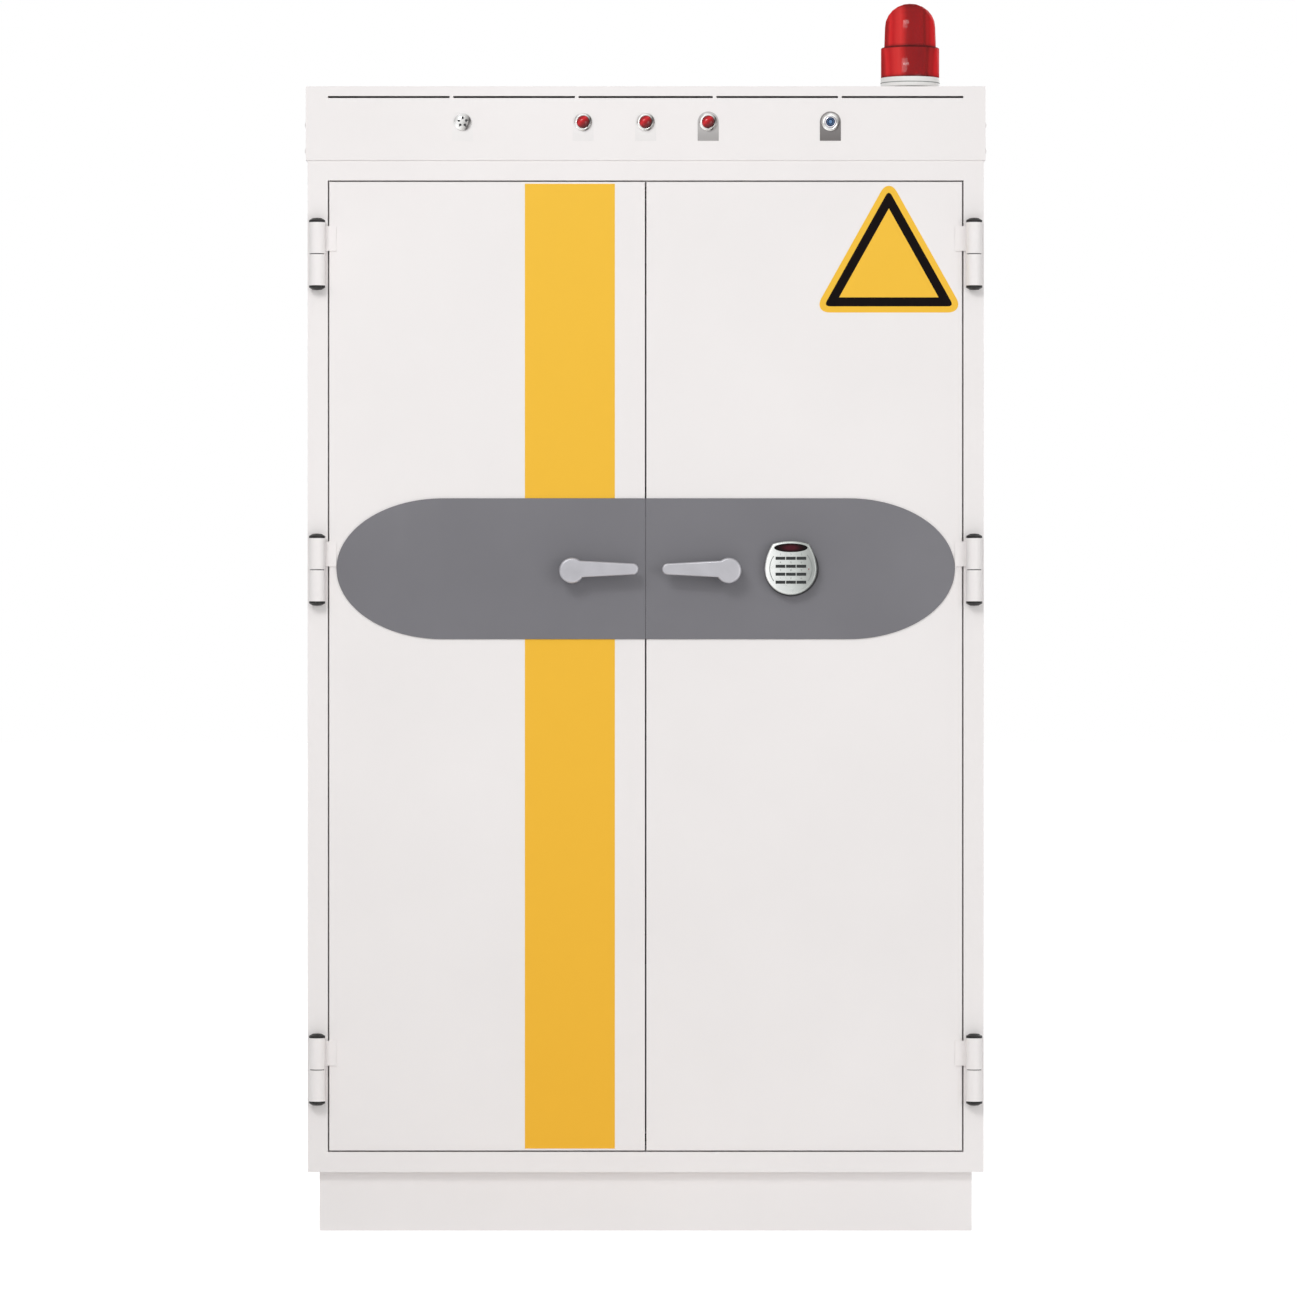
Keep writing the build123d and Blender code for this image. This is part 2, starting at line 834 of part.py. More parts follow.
# ---------------------------------------------------------------- inside the body
def shelf(top):
    """Shelf folded down on all four sides."""
    half = interior_half - shelf_side_gap
    tray = block(-half, half, shelf_front, shelf_back, top - shelf_thickness, top)
    return tray - block(
        -half + shelf_sheet, half - shelf_sheet, shelf_front + shelf_sheet, shelf_back - shelf_sheet,
        top - shelf_thickness - 1, top - shelf_sheet,
    )


def uprights():
    """Four uprights on the side walls, and a clipped-in bracket under every shelf corner."""
    parts = []
    half = interior_half - shelf_side_gap
    for side in (-1, 1):
        post_face = side * (interior_half - upright_depth)
        for y in (shelf_front + upright_inset, shelf_back - upright_inset):
            near, far = y - upright_width / 2, y + upright_width / 2
            parts.append(
                block(side * interior_half, post_face, near, far, interior_bottom, interior_top)
            )
            for top in shelf_tops:
                low = top - shelf_thickness
                parts.append(
                    block(post_face, side * (half - bracket_reach), near, far, low - bracket_height, low)
                )
    return parts


def socket_strip(ceiling):
    """Charging rail on the back wall under one ceiling, with flush square outlets."""
    z = ceiling - strip_drop
    face = interior_back - strip_depth
    rail = block(
        -strip_length / 2, strip_length / 2, face, interior_back,
        z - strip_height / 2, z + strip_height / 2,
    )
    for index in range(socket_count):
        x = (index - (socket_count - 1) / 2) * socket_pitch
        rail += block(
            x - socket_size / 2, x + socket_size / 2, face - socket_proud, face,
            z - socket_size / 2, z + socket_size / 2,
        )
    return rail


def smoke_detector():
    """Round detector head under the ceiling of the top compartment."""
    profile = Polyline(
        (0, 0), (detector_radius, 0), (detector_radius, -detector_height * 0.4),
        (detector_radius * 0.7, -detector_height * 0.55),
        (detector_radius * 0.7, -detector_height * 0.75),
        (detector_radius * 0.5, -detector_height), (0, -detector_height), close=True,
    )
    middle = (stop_y + interior_back) / 2
    return Pos(0, middle, interior_top) * revolve(Plane.XZ * make_face(profile), Axis.Z)


# ---------------------------------------------------------------- control header
def slot_spans():
    """Left and right ends of the vent slots: two on each side of a longer middle one."""
    spans = [(-slot_middle / 2, slot_middle / 2)]
    side_start = slot_middle / 2 + slot_bridge
    length = (slot_edge - side_start - (slot_count_side - 1) * slot_bridge) / slot_count_side
    for index in range(slot_count_side):
        near = side_start + index * (length + slot_bridge)
        spans += [(near, near + length), (-near - length, -near)]
    return spans


def device_places():
    """x of every round device in the front panel."""
    return [sounder_x, -lamp_pitch, 0, lamp_pitch, button_x]


def header_box():
    """Sheets of the box on the roof, welded edge to edge and open at the front."""
    inner = header_half - sheet
    floor = body_top + sheet
    roof = header_top - sheet
    wall = body_depth - sheet
    sheets = [
        block(-header_half, header_half, panel_back, body_depth, body_top, floor),
        block(-header_half, header_half, panel_back, body_depth, roof, header_top),
        block(-header_half, -inner, panel_back, body_depth, floor, roof),
        block(inner, header_half, panel_back, body_depth, floor, roof),
    ]
    back = block(-inner, inner, wall, body_depth, floor, roof)
    middle = (body_top + header_top) / 2
    for index in range(louvre_count):
        rise = (index - (louvre_count - 1) / 2) * louvre_pitch
        half = math.sqrt(fan_bore_radius**2 - (abs(rise) + louvre_height / 2) ** 2)
        back -= block(
            fan_x - half, fan_x + half, wall - 1, body_depth + 1,
            middle + rise - louvre_height / 2, middle + rise + louvre_height / 2,
        )
    half_x = inlet_width / 2 + inlet_wall + key_fit
    half_z = inlet_height / 2 + inlet_wall + key_fit
    back -= block(
        inlet_x - half_x, inlet_x + half_x, wall - 1, body_depth + 1, middle - half_z, middle + half_z
    )
    return sheets + [back]


def screw_head(rise):
    """Domed screw head whose axis is z and whose underside is at 0."""
    bulge = (screw_radius**2 + rise**2) / (2 * rise)
    cap = Pos(0, 0, rise - bulge) * Sphere(bulge)
    return cap & Pos(0, 0, rise / 2) * Box(3 * screw_radius, 3 * screw_radius, rise)


def header_screws():
    """Painted screw heads: two on each side of the header and two on its roof."""
    y = panel_back + screw_setback
    heads = []
    for side in (-1, 1):
        for height in side_screw_heights:
            place = Pos(side * header_half, y, body_top + height) * Rot(0, side * 90, 0)
            heads.append(place * screw_head(side_screw_rise))
    for inset in roof_screw_insets:
        heads.append(Pos(header_half - inset, y, header_top) * screw_head(roof_screw_rise))
    return heads


def header_panel():
    """Front sheet of the header with the vent row and the device holes."""
    panel = block(-header_half, header_half, panel_face, panel_back, body_top, header_top)
    slot_z = header_top - slot_drop
    for left, right in slot_spans():
        panel -= block(
            left, right, panel_face - 1, panel_back + 1, slot_z - slot_height / 2, slot_z + slot_height / 2
        )
    for x in device_places():
        panel -= round_y(device_hole_radius, x, device_height, panel_face - 1, panel_back + 1)
    return panel


def turned(x, z, face, points):
    """Turned piece on an axis along y; points are (radius, distance in front of face)."""
    profile = make_face(Polyline(*[(radius, out) for radius, out in points], close=True))
    piece = revolve(Plane.XZ * profile, Axis.Z)
    return Pos(x, face, z) * Rot(90, 0, 0) * piece


def bezel(x):
    """Metal bezel of a lamp or button, with its barrel through the panel."""
    return turned(x, device_height, panel_face, [
        (lens_radius - 1, bezel_proud - 1), (lens_radius + 0.8, bezel_proud),
        (bezel_radius - bezel_chamfer, bezel_proud), (bezel_radius, bezel_proud - bezel_chamfer),
        (bezel_radius, 0), (device_barrel_radius, 0),
        (device_barrel_radius, -device_barrel_length), (lens_radius - 1, -device_barrel_length),
    ])


def lamp_lens(x):
    """Domed red lens whose head covers the bezel's mouth, with a stem in its bore."""
    stem = lens_radius - 1 - button_fit
    base = bezel_proud + lens_seat
    steps = 5
    dome = []
    for step in range(steps + 1):
        turn = math.pi / 2 * step / steps
        dome.append((lens_radius * math.cos(turn), base + lens_proud * math.sin(turn)))
    tail = [(0, -device_barrel_length), (stem, -device_barrel_length), (stem, base)]
    return turned(x, device_height, panel_face, tail + dome)


def power_button():
    """Push button with a raised ring, which slides in its bezel."""
    front = bezel_proud - 1 + button_proud
    rim_width = 1.6
    return turned(button_x, device_height, panel_face, [
        (0, -button_length), (button_radius, -button_length), (button_radius, front - 0.8),
        (button_radius - 0.8, front), (button_radius - rim_width, front),
        (button_radius - 2 * rim_width, front - 0.8), (0, front - 0.8),
    ])


def sounder():
    """Round metal sounder with drop-shaped ports round its middle."""
    body = turned(sounder_x, device_height, panel_face, [
        (0, sounder_proud), (sounder_radius * 0.6, sounder_proud),
        (sounder_radius, sounder_proud * 0.55), (sounder_radius, 0), (device_barrel_radius, 0),
        (device_barrel_radius, -device_barrel_length), (0, -device_barrel_length),
    ])
    for index in range(sounder_ports):
        turn = 90 + 360 / sounder_ports * index
        narrow = Pos(port_circle - port_length / 2, 0) * Circle(port_width * 0.3)
        wide = Pos(port_circle + port_length / 4, 0) * Circle(port_width / 2)
        drop = make_hull(narrow.edges() + wide.edges())
        place = facing(sounder_x, panel_face - sounder_proud * 0.35, device_height)
        body -= extrude(place * (Rot(0, 0, turn) * drop), amount=sounder_proud)
    return body


def control_unit():
    """Controller housing on the floor of the header."""
    middle = (panel_back + body_depth) / 2
    unit = block(
        -control_length / 2, control_length / 2, middle - control_width / 2, middle + control_width / 2,
        body_top + sheet, body_top + sheet + control_height,
    )
    return fillet(unit.edges().filter_by(Axis.Z), 6)


# ---------------------------------------------------------------- fan and inlet
def fan_centre():
    """x and z of the fan, and the y where its frame meets the back wall."""
    return fan_x, (body_top + header_top) / 2, body_depth - sheet


def fan_frame():
    """Square fan frame with a round duct and a three-armed spider that carries the motor."""
    x, z, back = fan_centre()
    half = fan_size / 2
    front = back - fan_depth
    frame = block(x - half, x + half, front, back, z - half, z + half)
    frame -= round_y(fan_bore_radius, x, z, front - 1, back + 1)
    spider = round_y(fan_hub_radius, x, z, back - fan_spider, back)
    for index in range(3):
        arm = block(0, fan_bore_radius + 1, -fan_spider, 0, -fan_spider / 2, fan_spider / 2)
        spider += Pos(x, back, z) * Rot(0, 90 + 120 * index, 0) * arm
    stub = round_y(fan_hub_radius / 3, x, z, front + fan_spider, back - fan_spider)
    return frame + spider + stub


def fan_rotor():
    """Hub with pitched blades on the motor stub."""
    x, z, back = fan_centre()
    front = back - fan_depth + 1
    rear = back - fan_spider - fan_clearance
    rotor = round_y(fan_hub_radius, x, z, front, rear)
    bore = fan_hub_radius / 3 + fan_clearance / 3
    rotor -= round_y(bore, x, z, front + fan_spider - 1 - fan_clearance, rear + 1)
    chord = (rear - front) * 0.9
    for index in range(fan_blades):
        blade = block(
            fan_hub_radius - 2, fan_tip_radius, -fan_blade_thickness / 2, fan_blade_thickness / 2,
            -chord / 2, chord / 2,
        )
        blade = Rot(90 - fan_blade_angle, 0, 0) * blade
        blade &= Rot(90, 0, 0) * Cylinder(fan_tip_radius, rear - front - fan_clearance)
        rotor += Pos(x, (front + rear) / 2, z) * Rot(0, 360 / fan_blades * index, 0) * blade
    return rotor


def power_inlet():
    """Flanged appliance inlet in the back wall: a shrouded recess with three pins."""
    z = (body_top + header_top) / 2
    half_x = inlet_width / 2
    half_z = inlet_height / 2
    deep = body_depth + inlet_proud - inlet_depth
    shell = block(
        inlet_x - half_x - inlet_wall, inlet_x + half_x + inlet_wall, deep, body_depth + inlet_proud,
        z - half_z - inlet_wall, z + half_z + inlet_wall,
    )
    reach_x = half_x + inlet_wall + inlet_flange
    reach_z = half_z + inlet_wall + inlet_flange
    shell += block(
        inlet_x - reach_x, inlet_x + reach_x, body_depth, body_depth + inlet_proud,
        z - reach_z, z + reach_z,
    )
    return shell - block(
        inlet_x - half_x, inlet_x + half_x, deep + inlet_wall, body_depth + inlet_proud + 1,
        z - half_z, z + half_z,
    )


# ---------------------------------------------------------------- beacon
def upright_turned(z, points, sweep=360):
    """Turned piece on the beacon's axis; points are (radius, height over z)."""
    profile = make_face(Polyline(*points, close=True))
    piece = revolve(Plane.XZ * profile, Axis.Z, revolution_arc=sweep)
    return Pos(beacon_x, beacon_y, z) * piece


def beacon_base():
    """Gasket and base ring, with a low boss that the turntable runs on."""
    gasket = round_z(beacon_gasket_radius, beacon_x, beacon_y, header_top, gasket_top)
    boss = turntable_radius - 2 * turntable_thickness
    ring = upright_turned(gasket_top, [
        (0, 0), (beacon_base_radius - 1, 0), (beacon_base_radius, 1),
        (beacon_base_radius, beacon_base_height), (boss, beacon_base_height),
        (boss, beacon_base_height + spigot_height), (0, beacon_base_height + spigot_height),
    ])
    return [gasket, ring]


def lens_outline(inset, foot):
    """Points of the lens profile, drawn in by the wall: lower drum, ledge, upper drum and dome."""
    ledge = lower_lens_height
    spring = ledge + upper_lens_height
    points = [
        (0, foot), (lower_lens_radius - inset, foot), (lower_lens_radius - inset, ledge - 1 - inset),
        (lower_lens_radius - 1 - inset, ledge - inset), (upper_lens_radius - inset, ledge - inset),
    ]
    for step in range(dome_steps + 1):
        turn = math.pi / 2 * step / dome_steps
        points.append((
            (upper_lens_top_radius - inset) * math.cos(turn), spring + (dome_height - inset) * math.sin(turn)
        ))
    return points


def beacon_lens():
    """Thin red shell: a wide lower drum, a ledge, a narrower drum and a domed top."""
    outer = upright_turned(beacon_base_top, lens_outline(0, 0))
    return outer - upright_turned(beacon_base_top, lens_outline(lens_wall, -1))


def beacon_lamp():
    """Lamp on its post in the middle of the beacon."""
    post = lamp_post_height
    return upright_turned(beacon_base_top + spigot_height, [
        (0, 0), (lamp_post_radius, 0), (lamp_post_radius, post), (bulb_radius, post + 4),
        (bulb_radius, post + bulb_height - 6), (bulb_radius * 0.6, post + bulb_height - 1.5),
        (0, post + bulb_height),
    ])


def beacon_reflector():
    """Turntable round the lamp post with a curved mirror on one side."""
    bore = lamp_post_radius + seat_gap
    start = beacon_base_top + spigot_height + seat_gap
    table = upright_turned(start, [
        (bore, 0), (turntable_radius, 0), (turntable_radius, turntable_thickness),
        (bore, turntable_thickness),
    ])
    inner = reflector_radius - reflector_wall
    middle = reflector_height * 0.5
    mirror = upright_turned(start + turntable_thickness, [
        (inner * 0.8, 0), (reflector_radius * 0.8 + 1, 0), (reflector_radius, middle),
        (reflector_radius * 0.8 + 1, reflector_height), (inner * 0.8, reflector_height),
        (inner, middle),
    ], reflector_sweep)
    return table + mirror


# ---------------------------------------------------------------- every node, in assembly order
save("plinth", plinth_rails())
save("casing", outer_casing())
save("insulation_boards", insulation())
save("inner_liner", liner())
save("frame_seal", door_seal())
save("shelf_uprights", uprights())
save("shelves", [shelf(top) for top in shelf_tops])
save("socket_strips", [socket_strip(ceiling) for ceiling in shelf_tops + [interior_top]])
save("smoke_detector", smoke_detector())

hinge_sites = [(side, middle) for side in (-1, 1) for middle in hinge_heights]
save("frame_knuckles", [frame_knuckle(side, middle) for side, middle in hinge_sites])
save("hinge_pins", [hinge_pin(side, middle) for side, middle in hinge_sites])

for hand, side, pivot in (("left", -1, left_pivot_x), ("right", 1, right_pivot_x)):
    save(f"{hand}_door_skin", door_pan(side, pivot))
    save(f"{hand}_door_slab", door_core(side, pivot))
    save(f"{hand}_door_knuckles", [door_knuckle(side, middle) for middle in hinge_heights])
    save(f"{hand}_oval_panel", oval_half(side, pivot))
    save(f"{hand}_gearcase", gearcase(pivot))
    save(f"{hand}_spindle", spindle(pivot))
    save(f"{hand}_handle", handle(side, pivot))
    save(f"{hand}_upper_rod", lock_rod(side, 1, pivot))
    save(f"{hand}_lower_rod", lock_rod(side, -1, pivot))

save("lock_case", lock_case())
save("lock_bolt", lock_bolt())
save("keypad_base", round_y(keypad_base_radius, keypad_x, keypad_z, keypad_base_face, oval_face))
save("keypad_housing", keypad_body())
save("keypad_window", display_window())
for number, x, z in key_places():
    save(f"key_{number:02d}", key(x, z))

save("header_housing", header_box() + header_screws())
save("header_front", header_panel())
save("sounder", sounder())
save("panel_bezels", [bezel(x) for x in device_places()[1:]])
save("lamp_lenses", [lamp_lens(x) for x in device_places()[1:-1]])
save("power_button", power_button())
save("control_unit", control_unit())
save("fan_frame", fan_frame())
save("fan_rotor", fan_rotor())
save("power_inlet", power_inlet())
save("beacon_base", beacon_base())
save("beacon_lens", beacon_lens())
save("beacon_lamp", beacon_lamp())
save("beacon_reflector", beacon_reflector())
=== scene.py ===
"""Finishes and small fittings of a two-door battery cabinet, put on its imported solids."""
import json
import math

import bmesh
import bpy
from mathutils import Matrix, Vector

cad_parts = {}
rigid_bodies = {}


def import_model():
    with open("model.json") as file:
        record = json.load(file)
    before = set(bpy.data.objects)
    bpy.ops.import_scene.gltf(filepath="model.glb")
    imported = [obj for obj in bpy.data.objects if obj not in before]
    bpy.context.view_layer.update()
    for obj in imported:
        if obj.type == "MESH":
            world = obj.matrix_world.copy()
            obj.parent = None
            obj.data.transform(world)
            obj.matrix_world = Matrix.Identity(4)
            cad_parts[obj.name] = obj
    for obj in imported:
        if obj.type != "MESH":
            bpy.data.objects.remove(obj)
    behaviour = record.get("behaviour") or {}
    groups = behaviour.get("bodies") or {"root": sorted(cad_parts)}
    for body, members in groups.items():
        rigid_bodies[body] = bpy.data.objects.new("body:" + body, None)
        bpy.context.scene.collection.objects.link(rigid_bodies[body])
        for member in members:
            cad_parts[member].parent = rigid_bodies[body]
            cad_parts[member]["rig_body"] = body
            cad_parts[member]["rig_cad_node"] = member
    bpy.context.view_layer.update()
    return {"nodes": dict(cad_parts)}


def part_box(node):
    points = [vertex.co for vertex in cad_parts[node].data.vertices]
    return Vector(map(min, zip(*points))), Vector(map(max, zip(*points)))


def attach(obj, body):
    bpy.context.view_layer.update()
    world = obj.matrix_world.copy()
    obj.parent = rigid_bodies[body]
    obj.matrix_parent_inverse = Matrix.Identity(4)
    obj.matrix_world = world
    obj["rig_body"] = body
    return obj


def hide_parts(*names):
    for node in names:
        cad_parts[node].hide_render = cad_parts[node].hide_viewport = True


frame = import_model()
nodes = frame["nodes"]


# ---------------------------------------------------------------- studio
# A pale floor under an even white sky, with soft lamps in front, above and to the left.
# The lens looks straight at the doors from 11.5 m, a little below the handles.
def linear(code):
    """sRGB hex colour as linear RGBA."""
    channels = [int(code[place:place + 2], 16) / 255 for place in (1, 3, 5)]
    return tuple(c / 12.92 if c <= 0.04045 else ((c + 0.055) / 1.055) ** 2.4 for c in channels) + (1.0,)


def add(tree, kind, feeds=None, **settings):
    """Adds one shader node, with its settings and with values or other nodes' sockets as inputs."""
    item = tree.nodes.new(kind)
    for name, value in settings.items():
        setattr(item, name, value)
    for name, value in (feeds or {}).items():
        if isinstance(value, bpy.types.NodeSocket):
            tree.links.new(value, item.inputs[name])
        else:
            item.inputs[name].default_value = value
    return item


def shown_straight(tree):
    """1 for rays that reach the eye directly, in a reflection or through glass."""
    path = add(tree, "ShaderNodeLightPath")
    mirrored = add(tree, "ShaderNodeMath", operation="MAXIMUM", feeds={
        0: path.outputs["Is Camera Ray"], 1: path.outputs["Is Glossy Ray"]})
    return add(tree, "ShaderNodeMath", operation="MAXIMUM", feeds={
        0: mirrored.outputs[0], 1: path.outputs["Is Transmission Ray"]}).outputs[0]


scene = bpy.context.scene
scene.view_settings.view_transform = "Standard"
door_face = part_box("left_door_skin")[0].y
camera_distance = 11.5
view_height = 2.288
camera_height = 1.024
camera_side = 0.005
lens_data = bpy.data.cameras.new("camera")
lens_data.sensor_fit = "VERTICAL"
lens_data.lens = lens_data.sensor_height * camera_distance / view_height
lens_data.clip_end = 200
camera = bpy.data.objects.new("camera", lens_data)
camera.location = (camera_side, door_face - camera_distance, camera_height)
camera.rotation_euler = (math.radians(90), 0, 0)
scene.collection.objects.link(camera)
scene.camera = camera

sky_strength = 0.51
world = bpy.data.worlds.new("white studio")
scene.world = world
world.use_nodes = True
sky = world.node_tree
sky.nodes.clear()
even_light = add(sky, "ShaderNodeBackground", {"Color": linear("#FFFFFF"), "Strength": sky_strength})
white_wall = add(sky, "ShaderNodeBackground", {"Color": linear("#FFFFFF"), "Strength": 1.0})
sky_mix = add(sky, "ShaderNodeMixShader", {
    0: shown_straight(sky), 1: even_light.outputs[0], 2: white_wall.outputs[0]})
add(sky, "ShaderNodeOutputWorld", {"Surface": sky_mix.outputs[0]})

# name, place, aim, width, height, power in watts
soft_lamps = (
    ("key lamp", (-1.9, -5.2, 4.2), (0.0, door_face, 1.1), 2.2, 2.2, 74),
    ("strip lamp", (-1.7, -6.1, 4.8), (0.2, door_face, 1.4), 3.0, 0.4, 50),
    ("fill lamp", (3.6, -6.0, 1.4), (0.0, door_face, 0.7), 3.0, 3.0, 70),
    ("back lamp", (3.0, 5.0, 4.0), (0.0, 0.0, 1.0), 3.0, 3.0, 90),
)
for name, place, aim, width, height, power in soft_lamps:
    lamp_data = bpy.data.lights.new(name, "AREA")
    lamp_data.shape = "RECTANGLE"
    lamp_data.size = width
    lamp_data.size_y = height
    lamp_data.energy = power
    lamp = bpy.data.objects.new(name, lamp_data)
    lamp.location = place
    lamp.rotation_euler = (Vector(aim) - Vector(place)).to_track_quat("-Z", "Y").to_euler()
    scene.collection.objects.link(lamp)

floor_size = 120
floor_glow_strength = 0.64
bpy.ops.object.select_all(action="DESELECT")
bpy.ops.mesh.primitive_plane_add(size=floor_size)
floor = bpy.context.object
floor.name = "floor"
# Matt pale paint that glows a little to the eye alone, so that it fades into the white wall.
floor_finish = bpy.data.materials.new("pale studio floor")
floor_finish.use_nodes = True
floor_tree = floor_finish.node_tree
floor_tree.nodes.clear()
floor_paint = add(floor_tree, "ShaderNodeBsdfDiffuse", {"Color": linear("#F0F0F0")})
floor_lift = add(floor_tree, "ShaderNodeMath", operation="MULTIPLY", feeds={
    0: shown_straight(floor_tree), 1: floor_glow_strength})
floor_glow = add(floor_tree, "ShaderNodeEmission", {"Strength": floor_lift.outputs[0]})
floor_sum = add(floor_tree, "ShaderNodeAddShader", {0: floor_paint.outputs[0], 1: floor_glow.outputs[0]})
add(floor_tree, "ShaderNodeOutputMaterial", {"Surface": floor_sum.outputs[0]})
floor.data.materials.append(floor_finish)


# ---------------------------------------------------------------- plinth
# Four channels folded from 2.5 mm steel and welded at the corners into a low frame.
# It is powder coated white, stands on the floor, and is set back under the body.
def finish(name, colour, roughness, **sockets):
    """A material with one Principled shader; returns it with its node tree and that shader."""
    material = bpy.data.materials.new(name)
    material.use_nodes = True
    tree = material.node_tree
    shader = tree.nodes["Principled BSDF"]
    shader.inputs["Base Color"].default_value = linear(colour)
    shader.inputs["Roughness"].default_value = roughness
    for socket, value in sockets.items():
        shader.inputs[socket.replace("_", " ")].default_value = value
    return material, tree, shader


def grain(tree, mm, detail=2.0, stretch=(1.0, 1.0, 1.0)):
    """Noise with a grain of a real size, on the piece's own coordinates."""
    place = add(tree, "ShaderNodeTexCoord").outputs["Object"]
    if stretch != (1.0, 1.0, 1.0):
        place = add(tree, "ShaderNodeMapping", {"Vector": place, "Scale": stretch}).outputs[0]
    noise = add(tree, "ShaderNodeTexNoise", {
        "Vector": place, "Scale": 1000 / mm, "Detail": detail, "Roughness": 0.55})
    return noise.outputs["Fac"]


noise_low = 0.3  # nearly all of the noise lies between these two
noise_high = 0.7


def relief(tree, shader, height, depth_mm, strength):
    """Puts a height pattern on the shader's normal."""
    bump = add(tree, "ShaderNodeBump", {
        "Height": height, "Distance": depth_mm / 1000, "Strength": strength})
    tree.links.new(bump.outputs[0], shader.inputs["Normal"])


def sheen(tree, shader, factor, glossy, dull):
    """Lets the roughness of the shader swing between two values with a pattern."""
    swing = add(tree, "ShaderNodeMapRange", {
        "Value": factor, "From Min": noise_low, "From Max": noise_high, "To Min": glossy, "To Max": dull})
    tree.links.new(swing.outputs[0], shader.inputs["Roughness"])


def paint_ramp(ramp, stops):
    """Fills a colour ramp with (position, hex colour) stops."""
    band = ramp.color_ramp
    while len(band.elements) < len(stops):
        band.elements.new(0.5)
    for element, (position, colour) in zip(band.elements, stops):
        element.position = position
        element.color = linear(colour)


def colour_along(tree, shader, factor, stops):
    """Colours the shader by a factor, through (position, hex colour) stops."""
    ramp = add(tree, "ShaderNodeValToRGB", {"Fac": factor})
    paint_ramp(ramp, stops)
    tree.links.new(ramp.outputs["Color"], shader.inputs["Base Color"])


def tint(tree, shader, factor, dark, light):
    """Lets the colour of the shader swing between two tones with a pattern."""
    colour_along(tree, shader, factor, ((noise_low, dark), (noise_high, light)))


def dress(material, *names):
    """Gives CAD nodes their material."""
    for name in names:
        mesh = nodes[name].data
        mesh.materials.clear()
        mesh.materials.append(material)


# The baked powder has a satin skin, all but white, with a fine orange peel.
peel_mm = 3.0  # true peel is about 1 mm; drawn coarser so that it shows
powder_coat, tree, shader = finish("baked white powder coat on steel", "#F1EDEC", roughness=0.42)
relief(tree, shader, grain(tree, peel_mm), depth_mm=0.12, strength=0.12)
sheen(tree, shader, grain(tree, 60), glossy=0.41, dull=0.44)
tint(tree, shader, grain(tree, 420, detail=3.0), "#EFEBEA", "#F3EFEE")
dress(powder_coat, "plinth")


# ---------------------------------------------------------------- casing
# Shell folded and welded from 1.5 mm steel, with a stepped front frame round the doors.
# It is bolted to the plinth and has the same white powder coat.
dress(powder_coat, "casing")


# ---------------------------------------------------------------- fire boards
# Calcium silicate boards, sawn to size and packed between the casing and the liner.
# The sawn faces are chalky and quite matt.
board, tree, shader = finish("sawn calcium silicate board", "#DAD5C8", roughness=0.92)
relief(tree, shader, grain(tree, 1.5, detail=4.0), depth_mm=0.3, strength=0.4)
tint(tree, shader, grain(tree, 25, detail=4.0), "#D2CCBE", "#E1DCD0")
dress(board, "insulation_boards")


# ---------------------------------------------------------------- liner and shelves
# Inner tray folded from thin steel, with a lip round its mouth that the doors close against.
# The shelves are folded pans of the same coated sheet, and rest on brackets.
# Light grey powder, cooler than the outside and a little duller.
liner_coat, tree, shader = finish("light grey powder coat on steel", "#D5D8D8", roughness=0.5)
relief(tree, shader, grain(tree, peel_mm), depth_mm=0.12, strength=0.14)
sheen(tree, shader, grain(tree, 50), glossy=0.45, dull=0.55)
tint(tree, shader, grain(tree, 300, detail=3.0), "#D1D4D4", "#D9DCDC")
dress(liner_coat, "inner_liner", "shelves")


# ---------------------------------------------------------------- door seal
# Intumescent strip, extruded with graphite and glued to the liner's lip.
# It is dull, near black and slightly crumbly.
seal_strip, tree, shader = finish("extruded graphite seal", "#2A2A2C", roughness=0.85)
relief(tree, shader, grain(tree, 1.2, detail=5.0), depth_mm=0.25, strength=0.5)
tint(tree, shader, grain(tree, 9, detail=4.0), "#232325", "#343437")
dress(seal_strip, "frame_seal")


# ---------------------------------------------------------------- uprights and brackets
# Steel strip, roll formed and galvanised, screwed to the liner's side walls.
# Zinc gives a cool grey with a soft metal shine and faint lengthwise streaks.
shine_streak = (1.0, 1.0, 0.08)
relief_streak = (1.0, 1.0, 0.1)
zinc, tree, shader = finish("galvanised steel", "#B9BDC0", roughness=0.38, Metallic=1.0)
sheen(tree, shader, grain(tree, 4, detail=3.0, stretch=shine_streak), glossy=0.3, dull=0.46)
tint(tree, shader, grain(tree, 14, detail=3.0), "#AEB3B6", "#C6CACC")
relief(tree, shader, grain(tree, 2, stretch=relief_streak), depth_mm=0.05, strength=0.2)
dress(zinc, "shelf_uprights")


# ---------------------------------------------------------------- socket strips
# Rails moulded in grey polycarbonate, screwed to the back wall of each compartment.
# Each carries five square outlets, and every outlet gets its round face, which is a
# shallow cup pressed into the rail, with two pin holes, drawn as black discs of painted shade.
def primitive(kind, name, **place):
    """Adds a primitive with nothing else selected."""
    bpy.ops.object.select_all(action="DESELECT")
    getattr(bpy.ops.mesh, f"primitive_{kind}_add")(**place)
    piece = bpy.context.object
    piece.name = name
    piece.data.name = name
    return piece


def facing_front(kind, name, x, y, z, **sizes):
    """A primitive turned so that its own +Z looks out of the doors."""
    return primitive(kind, name, location=(x, y, z), rotation=(math.radians(90), 0, 0), **sizes)


